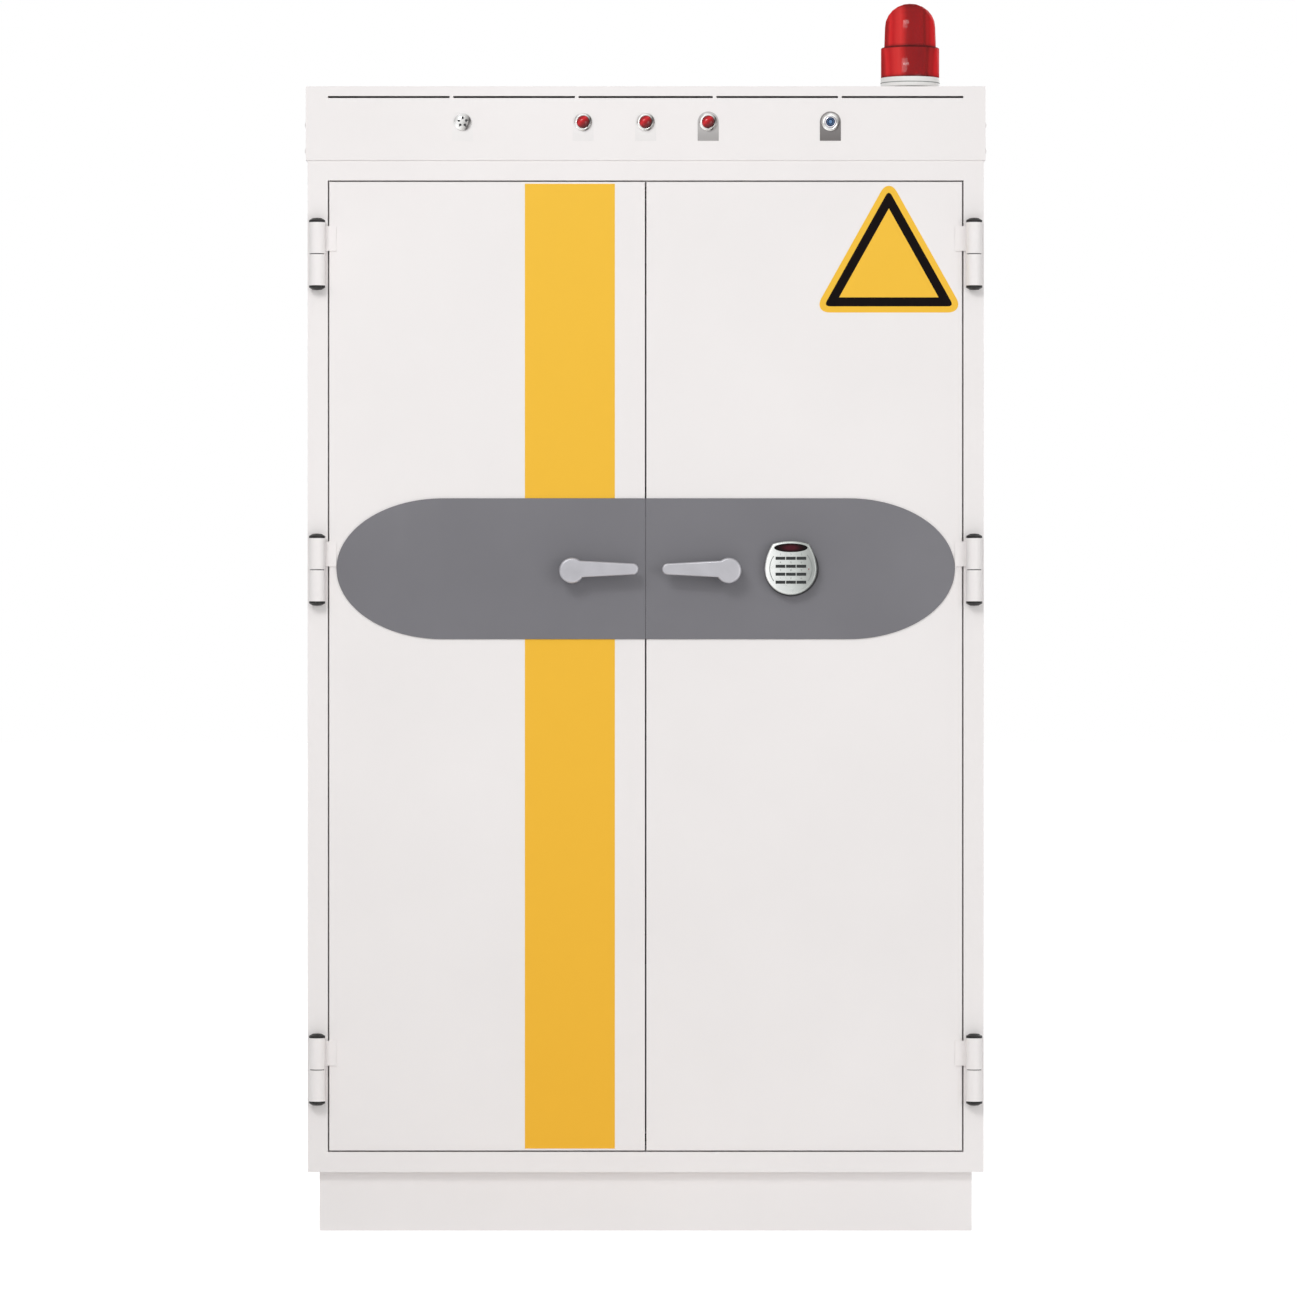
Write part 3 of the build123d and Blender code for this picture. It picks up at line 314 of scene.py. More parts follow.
def shape(piece, mode, rule=lambda part: True):
    """Opens a piece for editing, with all its vertices, edges or faces selected or those of a rule."""
    if piece.mode != "EDIT":
        bpy.ops.object.mode_set(mode="EDIT")
    bpy.ops.mesh.select_mode(type=mode)
    bpy.ops.mesh.select_all(action="DESELECT")
    mesh = bmesh.from_edit_mesh(piece.data)
    parts = {"VERT": mesh.verts, "EDGE": mesh.edges, "FACE": mesh.faces}[mode]
    for part in parts:
        if rule(part):
            part.select_set(True)
    mesh.select_flush_mode()
    bmesh.update_edit_mesh(piece.data)


def close_editing(piece):
    """Leaves edit mode."""
    if piece.mode == "EDIT":
        bpy.ops.object.mode_set(mode="OBJECT")


def thicken(piece, thickness):
    """Gives a thin sheet a real thickness behind its face."""
    close_editing(piece)
    wall = piece.modifiers.new("wall", "SOLIDIFY")
    wall.thickness = thickness
    wall.offset = -1


def another(piece, name, x, z):
    """A copy of a piece with its own mesh, set at another place on the same face."""
    twin = piece.copy()
    twin.data = piece.data.copy()
    twin.name = name
    twin.data.name = name
    twin.location.x = x
    twin.location.z = z
    scene.collection.objects.link(twin)
    return twin


weld_distance = 1e-6


def settle(piece, material, body, smooth_angle=35):
    """Finishes a piece: modifiers applied, object at the origin, smoothed, painted, riding on its body."""
    close_editing(piece)
    bpy.ops.object.select_all(action="DESELECT")
    piece.select_set(True)
    bpy.context.view_layer.objects.active = piece
    for modifier in list(piece.modifiers):
        bpy.ops.object.modifier_apply(modifier=modifier.name)
    bpy.ops.object.transform_apply(location=True, rotation=True, scale=True)
    bpy.ops.object.mode_set(mode="EDIT")
    bpy.ops.mesh.select_all(action="SELECT")
    bpy.ops.mesh.remove_doubles(threshold=weld_distance)
    bpy.ops.mesh.normals_make_consistent(inside=False)
    bpy.ops.object.mode_set(mode="OBJECT")
    bpy.ops.object.shade_smooth_by_angle(angle=math.radians(smooth_angle))
    piece.data.materials.clear()
    piece.data.materials.append(material)
    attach(piece, body)
    return piece


# Moulded polycarbonate: mid grey with a soft, even shine from a spark-eroded mould.
mould_grain_mm = 1.6  # true grain is about 0.1 mm; drawn coarser so that it shows
grey_moulding, tree, shader = finish("moulded grey polycarbonate", "#9DA0A1", roughness=0.45)
relief(tree, shader, grain(tree, mould_grain_mm), depth_mm=0.05, strength=0.25)
tint(tree, shader, grain(tree, 40), "#989B9C", "#A3A6A7")
dress(grey_moulding, "socket_strips")
# Black nylon: near black and half matt. The same black stands in as painted shade in the pin holes of the
# outlets and in the sounder's holes.
black_nylon_and_hole_shade, tree, shader = finish("moulded black nylon and painted hole shade", "#202122", roughness=0.5)
relief(tree, shader, grain(tree, mould_grain_mm), depth_mm=0.05, strength=0.3)
tint(tree, shader, grain(tree, 12), "#1B1C1D", "#27282A")

outlets_per_strip = 5
outlet_pitch = 0.08
outlet_radius = 0.0195
outlet_thickness = 0.0012
cup_rim = 0.0015
cup_wall = 0.0006
cup_depth = 0.0008
pin_radius = 0.0028
pin_spacing = 0.0095
pin_hole_proud = 0.0007
rail_height = 0.055
clear_below = 0.06  # no other edge of a rail lies this close under a rail's floor
strip_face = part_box("socket_strips")[0].y
strip_levels = sorted({round(v.co.z, 4) for v in nodes["socket_strips"].data.vertices})
rail_floors = [z for z in strip_levels if all(not 0 < z - other < clear_below for other in strip_levels)]
face_model = facing_front("circle", "outlet_face", 0, strip_face - outlet_thickness, 0,
                          radius=outlet_radius, vertices=40, fill_type="NGON")
shape(face_model, "FACE")
bpy.ops.mesh.inset(thickness=cup_rim)
bpy.ops.mesh.inset(thickness=cup_wall, depth=-cup_depth)
thicken(face_model, outlet_thickness)
hole_shade_model = facing_front("circle", "outlet_pin_hole_shade", 0, strip_face - pin_hole_proud, 0,
                          radius=pin_radius, vertices=20, fill_type="NGON")
for level, rail_floor in enumerate(rail_floors, start=1):
    z = rail_floor + rail_height / 2
    for index in range(outlets_per_strip):
        x = (index - (outlets_per_strip - 1) / 2) * outlet_pitch
        tag = f"{level}_{index + 1}"
        settle(another(face_model, f"outlet_face_{tag}", x, z), grey_moulding, "cabinet")
        for side, shift in (("left", -pin_spacing), ("right", pin_spacing)):
            hole_shade = another(hole_shade_model, f"outlet_pin_hole_shade_{tag}_{side}", x + shift, z)
            settle(hole_shade, black_nylon_and_hole_shade, "cabinet")
bpy.data.objects.remove(face_model)
bpy.data.objects.remove(hole_shade_model)


# ---------------------------------------------------------------- smoke detector
# Round head moulded in white ABS, twisted onto its base on the ceiling of the top compartment.
# ABS is an even white, with a softer shine than the coated steel about it.
white_abs, tree, shader = finish("moulded white ABS", "#EDEDEB", roughness=0.4)
relief(tree, shader, grain(tree, mould_grain_mm), depth_mm=0.04, strength=0.2)
tint(tree, shader, grain(tree, 30), "#EAEAE8", "#F0F0EE")


def smooth_copy(node, name, material, body, smooth_angle=35):
    """Stands a merged, smoothly shaded copy in for a CAD node with round faces."""
    bpy.ops.object.select_all(action="DESELECT")
    piece = nodes[node].copy()
    piece.data = nodes[node].data.copy()
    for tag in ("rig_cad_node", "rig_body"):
        if tag in piece:
            del piece[tag]
    piece.parent = None
    scene.collection.objects.link(piece)
    piece.name = name
    piece.data.name = name
    if "custom_normal" in piece.data.attributes:
        piece.data.attributes.remove(piece.data.attributes["custom_normal"])
    bpy.context.view_layer.objects.active = piece
    settle(piece, material, body, smooth_angle)
    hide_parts(node)
    return piece


smooth_copy("smoke_detector", "smoke_detector_head", white_abs, "cabinet")


# ---------------------------------------------------------------- hinges
# Turned steel barrels, welded to the frame and to leaves on the doors and coated with them.
# A loose pin runs through each pair and ends in a black domed cap above and below.
smooth_copy("frame_knuckles", "frame_hinge_barrels", powder_coat, "cabinet")
# Blackened steel: all but black, with a soft highlight on the dome.
cap_black, tree, shader = finish("blackened turned steel", "#1E1D1D", roughness=0.42, Specular_IOR_Level=0.25)
relief(tree, shader, grain(tree, 1.5), depth_mm=0.03, strength=0.2)
tint(tree, shader, grain(tree, 8), "#191818", "#262424")
smooth_copy("hinge_pins", "capped_hinge_pins", cap_black, "cabinet", smooth_angle=50)
for hand in ("left", "right"):
    smooth_copy(f"{hand}_door_knuckles", f"{hand}_door_hinge_leaves", powder_coat,
                f"{hand}_door")


# ---------------------------------------------------------------- doors
# Outer pans folded from 1.5 mm steel, over insulated slabs that step into the frame.
# Both are powder coated: the pans as the body is, the slabs a shade duller.
inner_pan, tree, shader = finish("white powder coat on the inner pan", "#EAE8E6", roughness=0.48)
relief(tree, shader, grain(tree, peel_mm), depth_mm=0.12, strength=0.14)
sheen(tree, shader, grain(tree, 50), glossy=0.44, dull=0.52)
tint(tree, shader, grain(tree, 300, detail=3.0), "#E7E5E3", "#EDEBE9")
for hand in ("left", "right"):
    dress(powder_coat, f"{hand}_door_skin")
    dress(inner_pan, f"{hand}_door_slab")


# ---------------------------------------------------------------- oval handle panel
# Two halves of 3 mm sheet that meet at the centre seam, each stuck to its own door.
# Sprayed lacquer gives them a cool mid grey with a satin shine.
satin_grey, tree, shader = finish("satin grey lacquer on sheet", "#706F74", roughness=0.46)
relief(tree, shader, grain(tree, 2.2), depth_mm=0.06, strength=0.15)
sheen(tree, shader, grain(tree, 45), glossy=0.42, dull=0.5)
tint(tree, shader, grain(tree, 260, detail=3.0), "#6E6D72", "#737277")
for hand in ("left", "right"):
    smooth_copy(f"{hand}_oval_panel", f"{hand}_oval_plate", satin_grey, f"{hand}_door")


# ---------------------------------------------------------------- boltwork
# Racks, pinions on the handle spindles, round rods and their cases behind the door pans.
# All are milled or pressed from steel and zinc plated, as the uprights are.
for hand in ("left", "right"):
    dress(zinc, f"{hand}_gearcase", f"{hand}_spindle", f"{hand}_upper_rod", f"{hand}_lower_rod")
dress(zinc, "lock_case", "lock_bolt")


# ---------------------------------------------------------------- handles
# Lever handles, die cast in aluminium and pushed onto the spindles, with a clear lacquer.
# The lacquer softens the metal to a light grey with broad highlights.
cast_aluminium, tree, shader = finish("lacquered die-cast aluminium", "#AEADB2", roughness=0.38,
                                      Metallic=0.55)
relief(tree, shader, grain(tree, 1.8), depth_mm=0.05, strength=0.18)
sheen(tree, shader, grain(tree, 18), glossy=0.32, dull=0.42)
tint(tree, shader, grain(tree, 30, detail=3.0), "#ABAAAF", "#B2B1B6")
for hand in ("left", "right"):
    smooth_copy(f"{hand}_handle", f"{hand}_lever_handle", cast_aluminium,
                f"{hand}_lever", smooth_angle=40)


# ---------------------------------------------------------------- keypad lock
# Housing cast in zinc and satin chromed, screwed to a black foot on the oval panel.
# It carries a dark display window and twelve bar keys of rubber, which spring back.
def own_place(tree):
    """The X, Y and Z of each point of the piece, in metres."""
    return add(tree, "ShaderNodeSeparateXYZ", {0: add(tree, "ShaderNodeTexCoord").outputs["Object"]})


keypad_low, keypad_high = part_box("keypad_housing")
keypad_x = (keypad_low.x + keypad_high.x) / 2
keypad_face = keypad_low.y
keypad_z = keypad_low.z + (keypad_high.x - keypad_low.x) / 2
# Satin chrome, its colour a painted reflection: bright on the left, as of the bright studio, and darker to
# the right, as of a dark room.
satin_chrome, tree, shader = finish("satin chromed zinc casting", "#D4D6D5", roughness=0.3, Metallic=0.75)
painted_light_fade = add(tree, "ShaderNodeMapRange", {
    "Value": own_place(tree).outputs["X"], "From Min": keypad_low.x, "From Max": keypad_high.x,
    "To Min": 0.0, "To Max": 1.0})
colour_along(tree, shader, painted_light_fade.outputs[0], (
    (0.0, "#F4F4F3"), (0.12, "#E6E8E6"), (0.3, "#CFD2D0"),
    (0.55, "#BFC3C0"), (0.8, "#A0A3A0"), (1.0, "#8C8F8D")))
sheen(tree, shader, grain(tree, 9), glossy=0.26, dull=0.36)
relief(tree, shader, grain(tree, 1.5), depth_mm=0.03, strength=0.15)
smooth_copy("keypad_housing", "keypad_shell", satin_chrome, "right_door",
            smooth_angle=50)

# Black ABS: near black and half matt. The foot is moved a little right and down from under the housing, so
# that its black rim there also stands in as painted shadow.
foot_black, tree, shader = finish("moulded black ABS foot", "#1A1A1C", roughness=0.45)
relief(tree, shader, grain(tree, mould_grain_mm), depth_mm=0.05, strength=0.25)
tint(tree, shader, grain(tree, 12), "#161618", "#212124")
foot = smooth_copy("keypad_base", "keypad_foot", foot_black, "right_door")
foot_shadow_shift = (0.0014, 0.0, -0.0006)
shape(foot, "VERT")
bpy.ops.transform.translate(value=foot_shadow_shift)
close_editing(foot)

# Smoked acrylic: all but black, with a dim red in its middle, where the digits lie unlit.
glow_scale = (38.0, 0.0, 110.0)  # one over the glow's half width, depth and half height in metres
display_glass, tree, shader = finish("smoked acrylic display window", "#160307", roughness=0.12,
                                     Specular_IOR_Level=0.12)
window_low, window_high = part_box("keypad_window")
window_middle = (window_low + window_high) / 2
centred = add(tree, "ShaderNodeMapping", {
    "Vector": add(tree, "ShaderNodeTexCoord").outputs["Object"],
    "Location": tuple(-value * scale for value, scale in zip(window_middle, glow_scale)),
    "Scale": glow_scale})
red_depth = add(tree, "ShaderNodeTexGradient", {0: centred.outputs[0]}, gradient_type="QUADRATIC_SPHERE")
colour_along(tree, shader, red_depth.outputs["Fac"], ((0.0, "#0B0405"), (0.5, "#4A1420")))
smooth_copy("keypad_window", "keypad_display", display_glass, "right_door")

# Silicone keys: dark grey and matt, each under a printed mark on the housing.
key_rubber, tree, shader = finish("moulded dark grey silicone", "#303232", roughness=0.6,
                                  Specular_IOR_Level=0.2)
relief(tree, shader, grain(tree, 1.4), depth_mm=0.05, strength=0.3)
tint(tree, shader, grain(tree, 6), "#2C2E2E", "#363838")
# Screen print: thin grey ink without a shine.
mark_ink, tree, shader = finish("dark grey screen print", "#5C605E", roughness=0.6)
tint(tree, shader, grain(tree, 2), "#565A58", "#646866")
key_marks = ("1", "2", "3", "4", "5", "6", "7", "8", "9", "*", "0", "#")
mark_height = 0.0032
capital_share = 0.7  # of the font's size
mark_rise = 0.0068
mark_thickness = 0.00012
for number, mark in enumerate(key_marks, start=1):
    key = f"key_{number:02d}"
    smooth_copy(key, f"bar_{key}", key_rubber, key, smooth_angle=50)
    key_low, key_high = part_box(key)
    bpy.ops.object.select_all(action="DESELECT")
    bpy.ops.object.text_add(location=(0, 0, 0))
    letter = bpy.context.object
    letter.data.body = mark
    letter.data.size = mark_height / capital_share
    letter.data.align_x = "CENTER"
    letter.data.align_y = "CENTER"
    letter.data.extrude = mark_thickness / 2
    bpy.ops.object.convert(target="MESH")
    print_mark = bpy.context.object
    print_mark.name = f"key_mark_{number:02d}"
    print_mark.location = ((key_low.x + key_high.x) / 2, keypad_face - mark_thickness / 2,
                           (key_low.z + key_high.z) / 2 + mark_rise)
    print_mark.rotation_euler = (math.radians(90), 0, 0)
    settle(print_mark, mark_ink, "right_door")

# Two arcs of painted shade where the housing's round body parts from its crown, darker than the chrome.
groove_radius = 0.0378
groove_width = 0.0013
groove_proud = 0.00015
groove_spans = ((-38, 42), (142, 218))  # degrees, from the housing's right and anticlockwise
groove_painted_shade, tree, shader = finish("shaded parting groove", "#7C807E", roughness=0.5)
tint(tree, shader, grain(tree, 4), "#767A78", "#838785")
for number, (start, end) in enumerate(groove_spans, start=1):
    groove = facing_front("circle", f"keypad_groove_{number}", keypad_x, keypad_face - groove_proud, keypad_z,
                          radius=groove_radius, vertices=180, fill_type="NOTHING")
    low, high = math.radians(start), math.radians(end)

    def outside(part):
        turn = math.atan2(part.co.y, part.co.x) % (2 * math.pi)
        return not any(low <= turn + lap <= high for lap in (-2 * math.pi, 0, 2 * math.pi))

    shape(groove, "VERT", outside)
    bpy.ops.mesh.delete(type="VERT")
    shape(groove, "EDGE")
    bpy.ops.mesh.extrude_edges_move()
    shrink = 1 - groove_width / groove_radius
    bpy.ops.transform.resize(value=(shrink, 1, shrink), center_override=(keypad_x, keypad_face, keypad_z))
    thicken(groove, groove_proud / 2)
    settle(groove, groove_painted_shade, "right_door")

# A small red signal lamp at the right: half a bead of tinted resin, unlit.
signal_side = 0.0315
signal_drop = 0.001
signal_radius = 0.0012
signal = facing_front("uv_sphere", "keypad_signal_led", keypad_x + signal_side, keypad_face,
                      keypad_z - signal_drop, radius=signal_radius, segments=20, ring_count=10)
shape(signal, "FACE", lambda part: part.calc_center_median().z < 0)
bpy.ops.mesh.delete(type="FACE")
led_red, tree, shader = finish("diffused red LED", "#7A1A1E", roughness=0.3)
tint(tree, shader, grain(tree, 1.5), "#6E1519", "#8A2226")
settle(signal, led_red, "right_door")


# ---------------------------------------------------------------- yellow stripe
# Cut vinyl film on the left door, in two lengths that meet the oval plate above and below.
# Cast vinyl is an even, warm yellow with a soft shine, a touch paler towards the top.
def film(name, x0, x1, z0, z1, face, thickness):
    """A flat rectangle of film or plate, stuck to a face that looks forward."""
    sheet = facing_front("plane", name, (x0 + x1) / 2, face - thickness, (z0 + z1) / 2, size=1)
    sheet.scale = (x1 - x0, z1 - z0, 1)
    bpy.ops.object.transform_apply(location=False, rotation=False, scale=True)
    thicken(sheet, thickness)
    return sheet


film_thickness = 0.00025
stripe_left = -0.2126
stripe_right = -0.0542
stripe_margin = 0.0035
yellow_film, tree, shader = finish("cast yellow vinyl film", "#F3BD3C", roughness=0.4, Specular_IOR_Level=0.3)
relief(tree, shader, grain(tree, 6), depth_mm=0.03, strength=0.1)
# The film's tone is drawn a touch paler the higher it stands on the door.
paler_with_height = add(tree, "ShaderNodeMapRange", {
    "Value": own_place(tree).outputs["Z"], "From Min": 0.1, "From Max": 1.9,
    "To Min": noise_low, "To Max": noise_high})
tint(tree, shader, paler_with_height.outputs[0], "#F4B82E", "#F6C238")
sheen(tree, shader, grain(tree, 40), glossy=0.36, dull=0.44)
door_low, door_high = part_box("left_door_skin")
oval_low, oval_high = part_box("left_oval_panel")
for name, bottom, top in (
    ("stripe_below_oval", door_low.z + stripe_margin, oval_low.z),
    ("stripe_above_oval", oval_high.z, door_high.z - stripe_margin),
):
    stripe = film(name, stripe_left, stripe_right, bottom, top, door_face, film_thickness)
    settle(stripe, yellow_film, "left_door")


# ---------------------------------------------------------------- sign plate
# Triangle of the same yellow film with rounded corners, stuck to the right door near its top.
# A black border is printed inside its edge, and its field is plain.
def triangle(name, left, right, bottom, top, face, thickness):
    """A flat triangle, point up, that looks forward."""
    plate = facing_front("circle", name, 0, face - thickness, 0, radius=1, vertices=3, fill_type="NGON")
    bpy.ops.object.transform_apply(location=True, rotation=True, scale=True)
    low_z = min(v.co.z for v in plate.data.vertices)
    high_z = max(v.co.z for v in plate.data.vertices)
    half = max(v.co.x for v in plate.data.vertices)
    shape(plate, "VERT")
    bpy.ops.transform.resize(value=((right - left) / (2 * half), 1, (top - bottom) / (high_z - low_z)),
                             center_override=(0, face, low_z))
    bpy.ops.transform.translate(value=((left + right) / 2, 0, bottom - low_z))
    return plate


def drawn_in(corners, inset):
    """A triangle's limits with all three sides drawn in by the same distance."""
    left, right, bottom, top = corners
    slope = math.atan2(top - bottom, (right - left) / 2)
    reach = inset / math.tan(slope / 2)
    return left + reach, right - reach, bottom + inset, top - inset / math.cos(slope)


sign_left = 0.307
sign_right = 0.549
sign_bottom = 1.618
sign_top = 1.838
sign_corner = 0.017
sign_slope = math.atan2(sign_top - sign_bottom - 2 * sign_corner, (sign_right - sign_left) / 2 - sign_corner)
foot_reach = sign_corner / math.tan(sign_slope / 2)
tip_reach = sign_corner / math.cos(sign_slope)
sharp = (sign_left + sign_corner - foot_reach, sign_right - sign_corner + foot_reach,
         sign_bottom, sign_top - sign_corner + tip_reach)
sign = triangle("sign_triangle", *sharp, door_face, film_thickness)
shape(sign, "VERT")
bpy.ops.mesh.bevel(offset=foot_reach, offset_type="OFFSET", segments=10, profile=0.5, affect="VERTICES")
thicken(sign, film_thickness)
settle(sign, yellow_film, "right_door")

# Screen ink: deep black and matt, with hardly any mirror shine.
black_film, tree, shader = finish("screen printed black border", "#0C0505", roughness=0.5,
                                  Specular_IOR_Level=0.06)
relief(tree, shader, grain(tree, 5), depth_mm=0.02, strength=0.1)
tint(tree, shader, grain(tree, 30), "#0A0404", "#100808")
band_outer = 0.0108
band_width = 0.0158
band_corner = 0.011
print_thickness = 0.00008
border = triangle("sign_border", *drawn_in(sharp, band_outer), door_face - film_thickness, print_thickness)
shape(border, "FACE")
bpy.ops.mesh.inset(thickness=band_width)
bpy.ops.mesh.delete(type="FACE")
outer_limits = drawn_in(sharp, band_outer + band_width / 2)
shape(border, "VERT", lambda part: part.co.z < outer_limits[2] or part.co.z > outer_limits[3])
bpy.ops.mesh.bevel(offset=band_corner, offset_type="OFFSET", segments=6, profile=0.5, affect="VERTICES")
thicken(border, print_thickness)
settle(border, black_film, "right_door")


# ---------------------------------------------------------------- header
# Sheet steel box on the roof with a slotted front panel, held by six screws.
# Box, panel and screw heads are powder coated with the body.
dress(powder_coat, "header_housing", "header_front")


# ---------------------------------------------------------------- legend plates
# Laminate plates clamped behind the panel's devices, round above and square below.
# Their fields, where a legend would be engraved, are blank.
button_low, button_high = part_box("power_button")
power_x = (button_low.x + button_high.x) / 2
device_z = (button_low.z + button_high.z) / 2
sounder_low, sounder_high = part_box("sounder")
sounder_x = (sounder_low.x + sounder_high.x) / 2
lamp_pitch = 0.11
panel_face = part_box("header_front")[0].y
plate_width = 0.037
plate_drop = 0.033
plate_thickness = 0.0005
almost = 0.9999  # keeps the two rounded corners from meeting in one point


def legend_plate(name, x, dark, light, label):
    """A plate that is round about its device and square below, darker towards its foot."""
    material, tree, shader = finish(label, dark, roughness=0.5)
    fall = add(tree, "ShaderNodeMapRange", {
        "Value": own_place(tree).outputs["Z"],
        "From Min": device_z - plate_drop, "From Max": device_z + plate_width / 2,
        "To Min": 0.25, "To Max": 0.75})
    tint(tree, shader, fall.outputs[0], dark, light)
    relief(tree, shader, grain(tree, 1.5), depth_mm=0.03, strength=0.2)
    half = plate_width / 2
    plate = film(name, x - half, x + half, device_z - plate_drop, device_z + half,
                 panel_face, plate_thickness)
    bpy.ops.object.transform_apply(location=True, rotation=True, scale=True)
    shape(plate, "VERT", lambda part: part.co.z > device_z)
    bpy.ops.mesh.bevel(offset=half * almost, offset_type="OFFSET", segments=16, profile=0.5,
                       affect="VERTICES")
    settle(plate, material, "cabinet")


# device, place, tone at the foot, tone at the top, finish
for device, x, dark, light, label in (
    ("sounder", sounder_x, "#EFECEB", "#F2EFEE", "white laminate by the sounder"),
    ("lamp_1", -lamp_pitch, "#EDEAE9", "#F2EFEE", "white laminate by the first lamp"),
    ("lamp_2", 0.0, "#EBE8E7", "#F0EDEC", "white laminate by the second lamp"),
    ("lamp_3", lamp_pitch, "#A6A3A2", "#C6C3C2", "light grey laminate by the third lamp"),
    ("power", power_x, "#6C6867", "#8C8887", "dark grey laminate by the power button"),
):
    legend_plate(f"legend_plate_{device}", x, dark, light, label)


# ---------------------------------------------------------------- sounder
# Stainless cap, turned and polished, over the buzzer, screwed into the panel from behind.
# Five holes are drilled through it in a ring, for the sound, each drawn as a black disc of painted shade.
# The stainless fittings get painted light and shade, leaning with height, in place of real reflections.
shade_lean = -0.35  # how far the light and dark sides tilt, as a slope
shade_reach = 0.016  # from a fitting's middle to the end of its shading


def turned_stainless(name, centre_x, repeat):
    """Polished turned steel, with a painted highlight on the left of every round fitting and painted shade on
    its right.
    """
    material, tree, shader = finish(name, "#CFCFCF", roughness=0.2, Metallic=1.0)
    place = own_place(tree)
    shift = add(tree, "ShaderNodeMath", {0: place.outputs["X"], 1: centre_x}, operation="SUBTRACT")
    across = add(tree, "ShaderNodeMath", operation="WRAP", feeds={
        0: shift.outputs[0], 1: repeat / 2, 2: -repeat / 2})
    up = add(tree, "ShaderNodeMath", {0: place.outputs["Z"], 1: device_z}, operation="SUBTRACT")
    lean = add(tree, "ShaderNodeMath", {0: up.outputs[0], 1: shade_lean}, operation="MULTIPLY")
    slope = add(tree, "ShaderNodeMath", {0: across.outputs[0], 1: lean.outputs[0]}, operation="ADD")
    painted_light_fade = add(tree, "ShaderNodeMapRange", {
        "Value": slope.outputs[0], "From Min": -shade_reach, "From Max": shade_reach,
        "To Min": 0.0, "To Max": 1.0})
    colour_along(tree, shader, painted_light_fade.outputs[0], (
        (0.0, "#BDBBB9"), (0.18, "#F0F0EF"), (0.5, "#D6D5D3"),
        (0.72, "#A3A19F"), (0.85, "#4A4746"), (1.0, "#A5A3A1")))
    sheen(tree, shader, grain(tree, 3), glossy=0.15, dull=0.26)
    return material


cap_repeat = 0.2  # wider than the cap, so that its shading doesn't start again
sounder_steel = turned_stainless("polished drilled stainless cap", sounder_x, cap_repeat)
smooth_copy("sounder", "sounder_cap", sounder_steel, "cabinet")

sound_hole_radius = 0.0023
sound_hole_circle = 0.0068
sound_hole_count = 5
first_hole = 0.25  # of a turn from the right, so that one hole stands at the top
sound_hole_depth = 0.0003
sound_hole_edge = 0.0003
hole_shade_model = facing_front("circle", "sounder_hole_shade", 0, sounder_low.y - sound_hole_depth, 0,
                          radius=sound_hole_radius, vertices=24, fill_type="NGON")
shape(hole_shade_model, "FACE")
bpy.ops.mesh.inset(thickness=sound_hole_edge, depth=-sound_hole_depth / 2)
close_editing(hole_shade_model)
for number in range(sound_hole_count):
    turn = 2 * math.pi * (number / sound_hole_count + first_hole)
    hole_shade = another(hole_shade_model, f"sounder_hole_shade_{number + 1}", sounder_x + sound_hole_circle * math.cos(turn),
                   device_z + sound_hole_circle * math.sin(turn))
    settle(hole_shade, black_nylon_and_hole_shade, "cabinet")
bpy.data.objects.remove(hole_shade_model)


# ---------------------------------------------------------------- signal lamps
# Polished stainless bezels, screwed into the panel from behind, with moulded red lenses.
# Polycarbonate is deep red and glassy, with painted light: each dome is brightest a little up and left of its
# middle, with painted shade to its lower right and at its upper left rim.
bezel_steel = turned_stainless("polished turned stainless bezel", 0.0, lamp_pitch)
smooth_copy("panel_bezels", "device_bezels", bezel_steel, "cabinet")
lens_painted_light_direction = (-0.55, 0.0, 0.62)
red_lens, tree, shader = finish("moulded red polycarbonate lens", "#B0131B", roughness=0.12,
                                Specular_IOR_Level=0.3)
facing = add(tree, "ShaderNodeVectorMath", {
    0: add(tree, "ShaderNodeTexCoord").outputs["Normal"], 1: lens_painted_light_direction}, operation="DOT_PRODUCT")
painted_lens_light = add(tree, "ShaderNodeMapRange", {
    "Value": facing.outputs["Value"], "From Min": -0.8, "From Max": 0.8, "To Min": 0.0, "To Max": 1.0})
colour_along(tree, shader, painted_lens_light.outputs[0], (
    (0.0, "#2A0205"), (0.35, "#6E060C"), (0.48, "#A00C14"),
    (0.6, "#D8222C"), (0.72, "#B0101A"), (1.0, "#5A060A")))
smooth_copy("lamp_lenses", "signal_lamp_lenses", red_lens, "cabinet", smooth_angle=50)


# ---------------------------------------------------------------- power button
# Push button of anodised aluminium in the fourth bezel, sprung, with moulded light guides.
# Its face shows a blue light ring and a paler light in the middle, with navy between.
button_steel, tree, shader = finish("bright anodised button", "#DCDBE2", roughness=0.25, Metallic=0.8)
tint(tree, shader, grain(tree, 6), "#D4D3DB", "#E6E5EC")
smooth_copy("power_button", "button_body", button_steel, "power_button", smooth_angle=50)
# Unlit guide: a dark navy that reflects little.
navy_ring, tree, shader = finish("unlit navy light ring", "#16213C", roughness=0.4, Specular_IOR_Level=0.1)
tint(tree, shader, grain(tree, 5), "#121C34", "#1A2846")
# Frosted guide: a pale, milky blue.
pale_blue, tree, shader = finish("frosted blue light guide", "#5B7FA8", roughness=0.35,
                                 Specular_IOR_Level=0.3)
tint(tree, shader, grain(tree, 4), "#5375A0", "#6A8CB4")
rim_height = 0.0008
ring_edge = 0.0003
ring_swell = 0.0001
